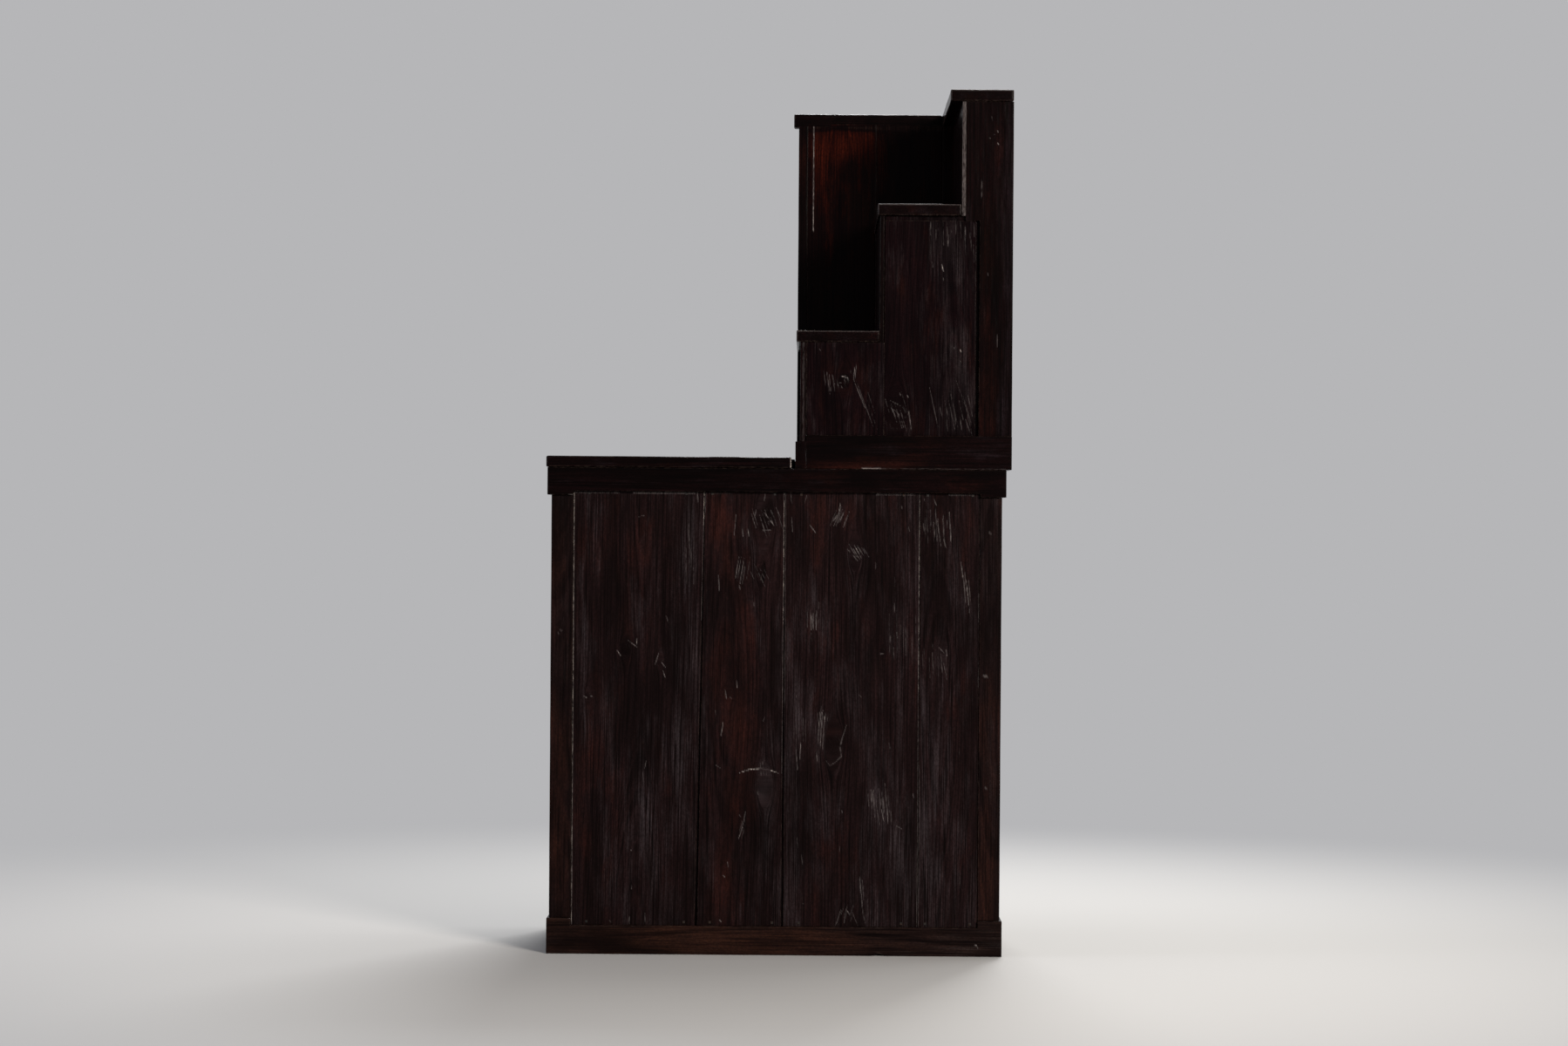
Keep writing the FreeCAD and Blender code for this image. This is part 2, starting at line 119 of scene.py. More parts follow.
def joined_boards(boxes, cuts, steps, arris, close, sealed):
    """Points, outward faces and the way each face looks, of boards joined flush less their rebates.
    Each hidden side named in sealed is closed with one flat face."""
    axes = [rows(boxes, cuts, n, steps[n], arris, close.get(n, ())) for n in range(3)]
    middles = np.meshgrid(*[(a[1:] + a[:-1]) / 2 for a in axes], indexing="ij")

    def inside(box):
        return np.all([(m > box[0][n]) & (m < box[1][n]) for n, m in enumerate(middles)], axis=0)

    filled = np.any([inside(box) for box in boxes], axis=0)
    for cut in cuts:
        filled &= ~inside(cut)
    sizes = [len(a) for a in axes]
    padded = np.pad(filled, 1)
    quads, facing = [], []
    for axis, one, two in ((0, 1, 2), (1, 2, 0), (2, 0, 1)):
        for side in (0, 1):
            beyond = np.roll(padded, 1 - 2 * side, axis)[1:-1, 1:-1, 1:-1]
            cells = np.argwhere(filled & ~beyond)
            cells[:, axis] += side
            ring = []
            for a, b in ((0, 0), (1, 0), (1, 1), (0, 1)):
                corner = cells.copy()
                corner[:, one] += a
                corner[:, two] += b
                ring.append((corner[:, 0] * sizes[1] + corner[:, 1]) * sizes[2] + corner[:, 2])
            quads.append(np.stack(ring if side else ring[::-1], 1))
            facing.append(np.full(len(cells), axis * 2 + side))
    quads, facing = np.concatenate(quads), np.concatenate(facing)
    lids = []
    for side in sealed:
        lids += outline(quads[facing == side])
        quads, facing = quads[facing != side], facing[facing != side]
    used = np.unique(np.concatenate([quads.ravel(), *lids]))
    quads = np.searchsorted(used, quads)
    lids = [np.searchsorted(used, lid) for lid in lids]
    i, rest = np.divmod(used, sizes[1] * sizes[2])
    j, k = np.divmod(rest, sizes[2])
    return np.stack([axes[0][i], axes[1][j], axes[2][k]], 1), quads, facing, lids


def worn(points, quads, looks, arris, seed, ripple):
    """Rounds every arris unevenly, as hands, feet and carrying do, and leaves the plane's low waves."""
    turned = looks.sum(1) > 1
    beside = np.zeros(len(points), bool)
    for a, b in ((0, 1), (1, 2), (2, 3), (3, 0), (1, 0), (2, 1), (3, 2), (0, 3)):
        one, two = quads[:, a], quads[:, b]
        close = turned[one] & (np.abs(points[one] - points[two]).sum(1) < 0.7 * arris)
        beside[two[close]] = True
    beside &= ~turned
    inward = np.stack([looks[:, 2 * n].astype(float) - looks[:, 2 * n + 1] for n in range(3)], 1)
    run = points @ np.array([1.0, 1.13, 0.91])
    amount = 0.5 + 1.3 * hills(seed, run / 0.06, seed % 7) * hills(seed + 1, run / 0.013, 3.3)
    depth = np.where(turned, 0.3, 0) + np.where(beside, 0.08, 0)
    hand = ripple * hills(seed + 2, points[:, 0] / 0.05 + points[:, 1] / 0.04, points[:, 2] / 0.06)
    moved = points + inward * (depth * amount * arris + hand)[:, None]
    return moved, np.where(turned, 1.0, 0) + np.where(beside, 0.7, 0)


def grown(points, axes, seed, knots):
    """How the tree grew: coordinates bent round each knot, the distance from its heart, and the knots."""
    across, deep, along = axes
    u, v, w = points[:, across].copy(), points[:, deep], points[:, along]
    bent, knotty, rings = u.copy(), np.zeros(len(u)), np.zeros(len(u))
    for x, z, radius in knots:
        away_u, away_w, reach = u - from_left(x), w - z * mm, radius * mm
        bent -= away_u * reach ** 2 / np.maximum(away_u ** 2 + (0.35 * away_w) ** 2, reach ** 2)
        away = np.hypot(away_u, 0.85 * away_w) / reach
        inside = np.clip((1.15 - away) / 0.25, 0, 1)
        knotty, rings = np.maximum(knotty, inside), np.where(inside > 0, away * reach, rings)
    draw = np.random.RandomState(seed)
    width = u.max() - u.min()
    heart_u = (u.max() + u.min()) / 2 + draw.uniform(-0.3, 0.3) * width
    heart_u = heart_u + 0.03 * (hills(seed + 3, w / 0.4, 0.5) - 0.5)
    heart_v = v.max() + draw.uniform(0.05, 0.11) + 0.05 * (hills(seed + 4, w / 0.55, 0.5) - 0.5)
    ring = np.hypot(bent - heart_u, v - heart_v) * (1 - knotty) + rings * knotty
    grain = np.stack([bent, v, w], 1) + draw.rand(3) * 3
    return {"grain": grain, "ring": ring, "knot": knotty}


def wood_mesh(name, points, quads, lids, values):
    """A mesh that carries the wood's own coordinates, wear and marks to its material."""
    mesh = bpy.data.meshes.new(name)
    mesh.vertices.add(len(points))
    mesh.vertices.foreach_set("co", points.astype(np.float32).ravel())
    turns = np.concatenate([quads.ravel(), *lids]).astype(np.int32)
    starts = np.arange(0, quads.size, 4)
    lid_starts = quads.size + np.cumsum([0] + [len(lid) for lid in lids])[:-1]
    mesh.loops.add(len(turns))
    mesh.loops.foreach_set("vertex_index", turns)
    mesh.polygons.add(len(quads) + len(lids))
    mesh.polygons.foreach_set("loop_start", np.concatenate([starts, lid_starts]).astype(np.int32))
    mesh.polygons.foreach_set("use_smooth", np.arange(len(quads) + len(lids)) < len(quads))
    mesh.update(calc_edges=True)
    for key, value in values.items():
        attribute = mesh.attributes.new(key, "FLOAT_VECTOR" if value.ndim == 2 else "FLOAT", "POINT")
        plain = value.astype(np.float32).ravel()
        attribute.data.foreach_set("vector" if value.ndim == 2 else "value", plain)
    mesh.validate()
    return mesh


def wooden(name, node_names, body, material, boxes, cuts=(), along=2, steps=None, arris=board_arris,
           seed=1, ripple=board_ripple, knots=(), rust_and_painted_light=(), relief=None,
           close=None, sealed=()):
    """One wooden piece, from the boards it is sawn to: joined, worn, carved by relief, and set in place.
    Knots are (x, z, radius) and patches of rust and painted light (x, z, reach x, reach z, strength), in
    millimetres; a negative strength takes rust out and paints grey sheen in its place."""
    boxes = [(np.array(low), np.array(high)) for low, high in boxes]
    size = np.max([high for low, high in boxes], 0) - np.min([low for low, high in boxes], 0)
    deep, across = sorted((n for n in range(3) if n != along), key=lambda n: size[n])
    steps = steps or tuple(6 * mm if n == along else 4.5 * mm for n in range(3))
    points, quads, facing, lids = joined_boards(boxes, list(cuts), steps, arris, close or {}, sealed)
    looks = np.zeros((len(points), 6), bool)
    for corner in range(4):
        looks[quads[:, corner], facing] = True
    for side, lid in zip(sealed, lids):
        looks[lid, side] = True
    values = grown(points, (across, deep, along), seed, knots)
    start = points
    points, values["wear"] = worn(start, quads, looks, arris, seed, ripple)
    values["marks"] = np.zeros(len(points))
    values["rust_and_painted_light"] = np.zeros(len(points))
    for x, z, reach_x, reach_z, strength in rust_and_painted_light:
        away_x = (start[:, 0] - from_left(x)) / (reach_x * mm)
        away = np.hypot(away_x, (start[:, 2] - z * mm) / (reach_z * mm))
        values["rust_and_painted_light"] += strength * np.exp(-away ** 2)
    if relief:
        points = relief(start, points, looks, values)
    piece = bpy.data.objects.new(name, wood_mesh(name, points, quads, lids, values))
    bpy.context.scene.collection.objects.link(piece)
    piece.data.materials.append(material)
    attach(piece, body)
    if node_names:
        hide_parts(*node_names)
    return piece


def linear(hex_colour):
    """A colour written in sRGB hex, as the linear values that a shader works in."""
    channels = [int(hex_colour[n:n + 2], 16) / 255 for n in (1, 3, 5)]
    return [c / 12.92 if c <= 0.04045 else ((c + 0.055) / 1.055) ** 2.4 for c in channels] + [1]


def node(tree, kind, links, output=0, **settings):
    """Adds one node with its settings, and fills its inputs with values or with other nodes' outputs."""
    made = tree.nodes.new("ShaderNode" + kind)
    for key, value in settings.items():
        setattr(made, key, value)
    for key, value in links.items():
        if isinstance(value, bpy.types.NodeSocket):
            tree.links.new(value, made.inputs[key])
        else:
            made.inputs[key].default_value = value
    return made.outputs[output]


def finish_named(name, **uniform):
    """A new material with one shader, whose uniform settings stand on its own sockets."""
    material = bpy.data.materials.new(name)
    material.use_nodes = True
    tree = material.node_tree
    tree.nodes.clear()
    shader = tree.nodes.new("ShaderNodeBsdfPrincipled")
    output = tree.nodes.new("ShaderNodeOutputMaterial")
    tree.links.new(shader.outputs[0], output.inputs[0])
    for key, value in uniform.items():
        shader.inputs[key.replace("_", " ")].default_value = value
    return material, tree, shader


def fibres(tree, grain, width, length, detail=3.0, roughness=0.55, along=2, distortion=0.0):
    """A pattern drawn out along the grain, its streaks so many millimetres wide and long."""
    stretch = [1000 / width] * 3
    stretch[along] = 1000 / length
    scaled = node(tree, "VectorMath", {0: grain, 1: stretch}, operation="MULTIPLY")
    return node(tree, "TexNoise", {"Vector": scaled, "Scale": 1.0, "Detail": detail, "Roughness": roughness,
                                   "Distortion": distortion})


def urushi_on_cedar(name, thick, thin, rust, grey, rust_level, sheen_level, ring_width):
    """Urushi brushed on hand-planed cedar. It is near black where it lies thick, plum-brown over the soft
    wood and rust-red where it has worn thin, and where a patch paints light; the hard rings stand proud, and
    a grey sheen is painted on them.
    Age has dulled the film, so it gives back much less light head-on than its IOR of 1.5 would."""
    material, tree, shader = finish_named(name, IOR=1.5, Specular_IOR_Level=0.022)
    grain = node(tree, "Attribute", {}, 1, attribute_name="grain")
    ring, wear, marks, knot, rust_and_painted_light = (
        node(tree, "Attribute", {}, 2, attribute_name=key)
        for key in ("ring", "wear", "marks", "knot", "rust_and_painted_light"))
    # Cedar's own fibres are a few hundredths of a millimetre: drawn 2.2 mm wide to show at this size.
    fine = fibres(tree, grain, 2.2, 140, 3.0, 0.65)
    coarse = fibres(tree, grain, 4.0, 190)
    # How far one brush load of lacquer, one worn place and one patch of painted sheen reach.
    cloud = fibres(tree, grain, 55, 240, 4.0, 0.6)
    patch = fibres(tree, grain, 42, 150, 5.0, 0.62)
    sheen_patch = fibres(tree, grain, 26, 120, 4.0, 0.62)
    # Real splinters are under half a millimetre wide: drawn 1.8 mm wide to show at this size.
    chips = fibres(tree, grain, 4, 12, 4.0, 0.7)
    splinters = fibres(tree, grain, 1.8, 13, 3.0, 0.7)
    band_place = node(tree, "Math", {0: ring, 1: 1000 / ring_width}, operation="MULTIPLY")
    bands = node(tree, "TexNoise", {"W": band_place, "Scale": 1.0, "Detail": 2.0}, noise_dimensions="1D")
    streaks = node(tree, "Math", {0: bands, 1: 0.5, 2: fine}, operation="MULTIPLY_ADD")
    streaks = node(tree, "Math", {0: coarse, 1: 0.6, 2: streaks}, operation="MULTIPLY_ADD")
    streaks = node(tree, "MapRange", {"Value": streaks, "From Min": 0.84, "From Max": 1.34})
    # Dust pits in the lacquer are finer than a millimetre: drawn 3.4 mm wide to show at this size.
    specks = fibres(tree, grain, 3.4, 7, 3.0, 0.75)
    specks = node(tree, "MapRange", {"Value": specks, "From Min": 0.38, "From Max": 0.62})
    # Worn through to rust-red where a patch calls for it; on the stair well's wall and its post, a patch
    # paints a pool of light in this colour instead.
    bare = node(tree, "Math", {0: rust_and_painted_light, 1: 0.16, 2: patch}, operation="MULTIPLY_ADD")
    bare = node(tree, "MapRange", {"Value": bare, "From Min": rust_level, "From Max": rust_level + 0.32})
    streaky = node(tree, "MapRange", {"Value": streaks, "From Min": 0.1, "From Max": 0.9, "To Min": 0.2})
    bare = node(tree, "Math", {0: bare, 1: streaky}, operation="MULTIPLY")
    # Painted sheen: grey laid on the raised grain, with more of it where a patch has a negative strength.
    painted_sheen = node(tree, "Math", {0: rust_and_painted_light, 1: -0.2, 2: sheen_patch}, operation="MULTIPLY_ADD")
    painted_sheen = node(tree, "MapRange", {"Value": painted_sheen, "From Min": sheen_level, "From Max": sheen_level + 0.3})
    ridged = node(tree, "MapRange", {"Value": fine, "From Min": 0.43, "From Max": 0.62})
    painted_sheen = node(tree, "Math", {0: painted_sheen, 1: ridged}, operation="MULTIPLY")
    heavy = node(tree, "MapRange", {"Value": cloud, "From Min": 0.42, "From Max": 0.64, "To Max": 0.7})
    pitted = node(tree, "Math", {0: specks, 1: 0.5}, operation="MULTIPLY")
    chipped = node(tree, "MapRange", {"Value": chips, "From Min": 0.46, "From Max": 0.7, "To Max": 0.8})
    rubbed = node(tree, "Math", {0: wear, 1: chipped}, operation="MULTIPLY")
    knotted = node(tree, "Math", {0: knot, 1: 0.35}, operation="MULTIPLY")
    broken = node(tree, "MapRange", {"Value": splinters, "From Min": 0.36, "From Max": 0.6, "To Min": 0.3,
                                      "To Max": 1.3})
    broken = node(tree, "Math", {0: marks, 1: broken}, operation="MULTIPLY")
    scraped_and_glint = node(tree, "MapRange", {"Value": broken, "From Min": 0.1, "From Max": 0.7})
    torn = node(tree, "MapRange", {"Value": broken, "From Min": 0.6, "From Max": 1.15})
    # Thin lacquer over the soft wood, and on it each layer in turn: worn through to rust-red, which also
    # carries painted light, the painted grey sheen, laid on thick, pitted, rubbed at the edges, dark in the
    # knots, scraped, and torn down to pale fibres, whose pale grey on the strokes is partly a painted glint.
    layers = ((streaks, thin), (bare, rust), (painted_sheen, grey), (heavy, thick), (pitted, thick),
              (rubbed, "#3d322d"), (knotted, "#0a0505"), (scraped_and_glint, "#575151"), (torn, "#b9aea6"))
    lacquer = linear(thick)
    for share, colour in layers:
        lacquer = node(tree, "Mix", {0: share, 6: lacquer, 7: linear(colour)}, 2, data_type="RGBA")
    tree.links.new(lacquer, shader.inputs["Base Color"])
    dull = node(tree, "MapRange", {"Value": fine, "From Min": 0.3, "From Max": 0.7, "To Min": 0.26,
                                   "To Max": 0.17})
    dull = node(tree, "Math", {0: rubbed, 1: 0.25, 2: dull}, operation="MULTIPLY_ADD")
    tree.links.new(dull, shader.inputs["Roughness"])
    bump = node(tree, "Bump", {"Strength": 1.0, "Distance": 0.05 * mm, "Height": streaks})
    tree.links.new(bump, shader.inputs["Normal"])
    return material


# The plinth takes the knocks: browner than the rest, with bare rust-red stretches.
plinth_lacquer = urushi_on_cedar(
    "urushi_worn_on_planed_cedar", "#0c0707", "#2d1f1c", "#3c241b", "#37302f", 0.53, 0.48, 2.6)


def scarred(lines=(), scars=(), chips=(), reach=1.5):
    """Marks on the side that faces back: lines rubbed along an edge (axis, place, start, end,
    strength), with their reach in millimetres; strokes torn or scratched in the face, each from
    place to place (x, z, x, z, and on, then its strength in tenths), gouged in and marked pale grey, partly
    as bare fibre and partly as a painted glint; and chips (x, z, reach, depth)."""
    def relief(start, points, looks, values):
        x, z, back = (start[:, 0] - chest_left) / mm, start[:, 2] / mm, looks[:, 2]
        points = points.copy()
        for axis, place, first, last, strength in lines:
            near = np.clip(1.25 - np.abs((x if axis == 0 else z) - place) / reach, 0, 1)
            run = z if axis == 0 else x
            near = near * (run > first) * (run < last) * back * strength
            values["marks"] = np.maximum(values["marks"], near)
        for *places, strength in scars:
            bends = np.reshape(places, (-1, 2))
            spans = np.hypot(*np.diff(bends, axis=0).T)
            away, share, behind = np.full(len(x), 1e6), np.zeros(len(x)), 0
            for (x0, z0), (x1, z1), span in zip(bends, bends[1:], spans):
                part = np.clip(((x - x0) * (x1 - x0) + (z - z0) * (z1 - z0)) / span ** 2, 0, 1)
                apart = np.hypot(x - x0 - part * (x1 - x0), z - z0 - part * (z1 - z0))
                share = np.where(apart < away, (behind + part * span) / spans.sum(), share)
                away, behind = np.minimum(away, apart), behind + span
            slim = 0.4 + 0.6 * np.sin(np.pi * share)
            wide = 1.4 if len(bends) == 2 else 2.2
            torn = np.clip(1.2 - away / wide / slim, 0, 1) * strength / 10 * back
            points[:, 1] += 0.6 * mm * torn
            # The stroke's mark paints it pale grey: partly bare torn fibre, partly a painted glint.
            values["marks"] = np.maximum(values["marks"], torn * 0.85)
        for x0, z0, width, depth in chips:
            away = np.hypot((x - x0) / width, (z - z0) / (2 * depth))
            gone = np.clip(1 - away, 0, 1) * (start[:, 1] < plinth_back[0][1] + chipped_depth)
            points[:, 2] += gone * depth * mm
            values["wear"] = np.maximum(values["wear"], gone * 1.5)
        return points
    return relief


plinth_back = corners("lower_plinth_back")
plank_boxes = [corners("lower_back_plank_%d" % number) for number in (1, 2, 3, 4)]
plank_gap = 1.5 * mm
plank_bed = ((plank_boxes[0][0][0] - plank_gap / 2, -1, plank_boxes[0][0][2]),
             (plank_boxes[3][1][0] + plank_gap / 2, plank_boxes[0][1][1], plank_boxes[0][1][2]))


def board_ring(name, node_name, lacquer, seed, rust_and_painted_light, relief):
    """Four boards on edge round the lower chest, the left and right ones between the other two.
    The back one is rebated for the planks and takes the relief."""
    first, last = corners(node_name + "back")[1][1], corners(node_name + "front")[0][1]
    for number, place in enumerate(("back", "front", "left", "right")):
        low, high = corners(node_name + place)
        behind, sideways = place == "back", place in ("left", "right")
        if sideways:
            low[1], high[1] = first, last
        wooden(name + place, [node_name + place], "chest", lacquer, [(low, high)],
               [plank_bed] if behind else [], along=1 if sideways else 0, seed=seed + number,
               relief=relief if behind else None, rust_and_painted_light=rust_and_painted_light)


lines = [(2, plinth_back[1][2] / mm, *piece) for piece in plinth_line_pieces]
board_ring("plinth_board_", "lower_plinth_", plinth_lacquer, 11, plinth_rust,
           scarred(lines, ((903, 26, 908, 18, 9),), plinth_chips))

# Corner posts of the lower chest
# Square cedar posts, stub-tenoned into the plinth below and the head band above.
# The two at the back have a rebate that the outer planks are nailed into.
post_scars = (
    (902, 796, 896, 784, 7), (896, 784, 903, 768, 8), (908, 585, 927, 588, 7), (924, 889, 933, 884, 6),
    (911, 349, 928, 355, 5), (938, 273, 945, 272, 6), (22, 668, 28, 677, 4), (28, 677, 44, 680, 4),
)
post_rust = (
    (25, 300, 40, 260, 1.3), (25, 820, 30, 60, 0.6), (920, 130, 26, 170, 1.5), (905, 420, 20, 120, 0.8),
)
band_foot = corners("lower_band_back")[0][2]
# Dark brown with some grey sheen painted along the grain.
post_lacquer = urushi_on_cedar(
    "urushi_on_squared_cedar", "#0a0606", "#241818", "#341d17", "#2f2829", 0.53, 0.48, 2.6)
for end in ("back", "front"):
    for side in ("left", "right"):
        low, high = corners("lower_post_%s_%s" % (end, side))
        low[2], high[2] = plinth_back[1][2], band_foot
        wooden("post_%s_%s" % (end, side), ["lower_post_%s_%s" % (end, side)], "chest", post_lacquer,
               [(low, high)], [plank_bed] if end == "back" else [], seed=31 + 2 * len(end) + len(side),
               relief=scarred(scars=post_scars) if end == "back" else None, rust_and_painted_light=post_rust)

# Head band of the lower chest
# Four cedar boards on edge like the plinth's, set round the top of the posts and proud of them on
# every side. The back one is rebated for the heads of the planks.
band_line_pieces = ((46, 318, 0.8), (345, 400, 0.45), (600, 775, 0.6), (820, 885, 0.45))
band_rust = ((880, 990, 90, 60, 1.2), (700, 1000, 120, 40, 0.5))
# Laid on thickest here: nearly black, with little brown showing.
frame_lacquer = urushi_on_cedar(
    "urushi_on_planed_cedar", "#050303", "#170a0b", "#2e140f", "#261e22", 0.56, 0.51, 2.6)
lines = [(2, band_foot / mm, *piece) for piece in band_line_pieces]
board_ring("head_band_", "lower_band_", frame_lacquer, 51, band_rust, scarred(lines))

# Floor, top, shelf and drawer guides of the lower chest
# Plain cedar boards that stay inside, sawn and roughly planed, never lacquered and brown with age.
# Bare old softwood gives a dry, matt tan with darker rings and no shine.


def bare_cedar(name, along):
    """Unlacquered old cedar, its grain along one axis of the piece."""
    material, tree, shader = finish_named(name, Roughness=0.82, IOR=1.45, Specular_IOR_Level=0.3)
    place = node(tree, "TexCoord", {}, 3)
    ring = fibres(tree, place, 9, 420, 3.0, 0.5, along, 0.6)
    fine = fibres(tree, place, 1.8, 90, 3.0, 0.5, along)
    dirt = node(tree, "TexNoise", {"Vector": place, "Scale": 7.0, "Detail": 4.0})
    ring = node(tree, "MapRange", {"Value": ring, "From Min": 0.4, "From Max": 0.6})
    fine_share = node(tree, "MapRange", {"Value": fine, "From Min": 0.45, "From Max": 0.7, "To Max": 0.5})
    dirt = node(tree, "MapRange", {"Value": dirt, "From Min": 0.5, "From Max": 0.75, "To Max": 0.6})
    wood = linear("#6d5138")
    for share, colour in ((ring, "#8f7252"), (fine_share, "#54402e"), (dirt, "#3d2d22")):
        wood = node(tree, "Mix", {0: share, 6: wood, 7: linear(colour)}, 2, data_type="RGBA")
    tree.links.new(wood, shader.inputs["Base Color"])
    bump = node(tree, "Bump", {"Strength": 0.5, "Distance": 0.4 * mm, "Height": fine})
    tree.links.new(bump, shader.inputs["Normal"])
    return material


def dress(node_name, material):
    """Gives a node whose CAD shape is already right its material."""
    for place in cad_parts[node_name].material_slots:
        place.material = material


cedar_across = bare_cedar("bare_cedar_sawn_across", 0)
cedar_deep = bare_cedar("bare_cedar_sawn_deep", 1)
for inner in ("lower_floor_board", "lower_top_board", "lower_shelf"):
    dress(inner, cedar_across)
dress("lower_drawer_guides", cedar_deep)

# Side planks of the lower chest
# Two wide cedar boards a side, edge to edge, housed between the posts.
# Planed smooth outside and lacquered; their inner faces show only when a door is open.
side_split_share = 0.56
side_joint = 0.3 * mm
side_steps = (4 * mm, 2.6 * mm, 7 * mm)
# Thin and weathered: plum-brown with rust-red clouds, and grey sheen painted in streaks.
plank_lacquer = urushi_on_cedar(
    "urushi_on_weathered_cedar", "#0a0606", "#2a1b1c", "#3a1b15", "#3c3538", 0.54, 0.47, 2.3)
for side in ("left", "right"):
    low, high = corners("lower_side_planks_" + side)
    split = low[1] + (high[1] - low[1]) * side_split_share
    for number, (first, last) in enumerate(((low[1], split - side_joint), (split + side_joint, high[1]))):
        box = ((low[0], first, low[2]), (high[0], last, high[2]))
        wooden("side_plank_%s_%d" % (side, number + 1), ["lower_side_planks_" + side] if number == 0 else [],
               "chest", plank_lacquer, [box], seed=71 + number + 2 * len(side),
               steps=side_steps, sealed=(1,) if side == "left" else (0,))

# Back planks of the lower chest and their nails
# Four rough cedar planks of unlike width, knotty and weathered, lacquered with the frame.
# Each is nailed at its ends into the rebates of plinth, posts and band.
# The tables give what each plank shows, by its number. All are millimetres from the left end of the
# head band and up from the floor: knots, patches of rust and painted sheen, single strokes, groups of
# strokes and rubbed edges.
plank_knots = {
    1: ((166, 640, 10), (240, 612, 7), (88, 541, 6)),
    2: ((455, 915, 20), (384, 547, 7), (461, 355, 16), (448, 805, 9)),
    3: ((645, 843, 13), (704, 639, 5), (603, 440, 18)),
    4: ((832, 640, 7),),
}
# Patches of rust, and with a negative strength painted grey sheen in place of rust.
plank_rust_and_sheen = {
    1: ((190, 870, 70, 60, 0.7), (150, 800, 40, 160, 0.5), (230, 560, 40, 60, 0.5),
        (209, 295, 30, 200, -0.7), (288, 560, 24, 260, -0.9), (296, 850, 14, 80, -1.0),
        (70, 300, 30, 200, 0.4)),
    2: ((360, 888, 30, 90, 1.0), (385, 650, 45, 160, 1.1), (410, 470, 30, 110, 1.1),
        (385, 240, 35, 170, 0.9), (465, 240, 16, 120, -0.7), (330, 470, 12, 60, -0.6)),
    3: ((551, 861, 40, 90, 0.6), (620, 930, 40, 60, 0.6), (670, 620, 60, 120, 0.5), (640, 250, 40, 70, 0.4),
        (512, 300, 24, 260, -1.0), (644, 560, 24, 110, -0.8), (697, 300, 36, 190, -0.9),
        (752, 164, 24, 140, -1.0), (740, 640, 18, 160, -0.6)),
    4: ((881, 848, 14, 60, 1.0), (850, 930, 40, 40, 0.5), (802, 300, 30, 240, -1.0),
        (850, 760, 20, 120, -0.5)),
}
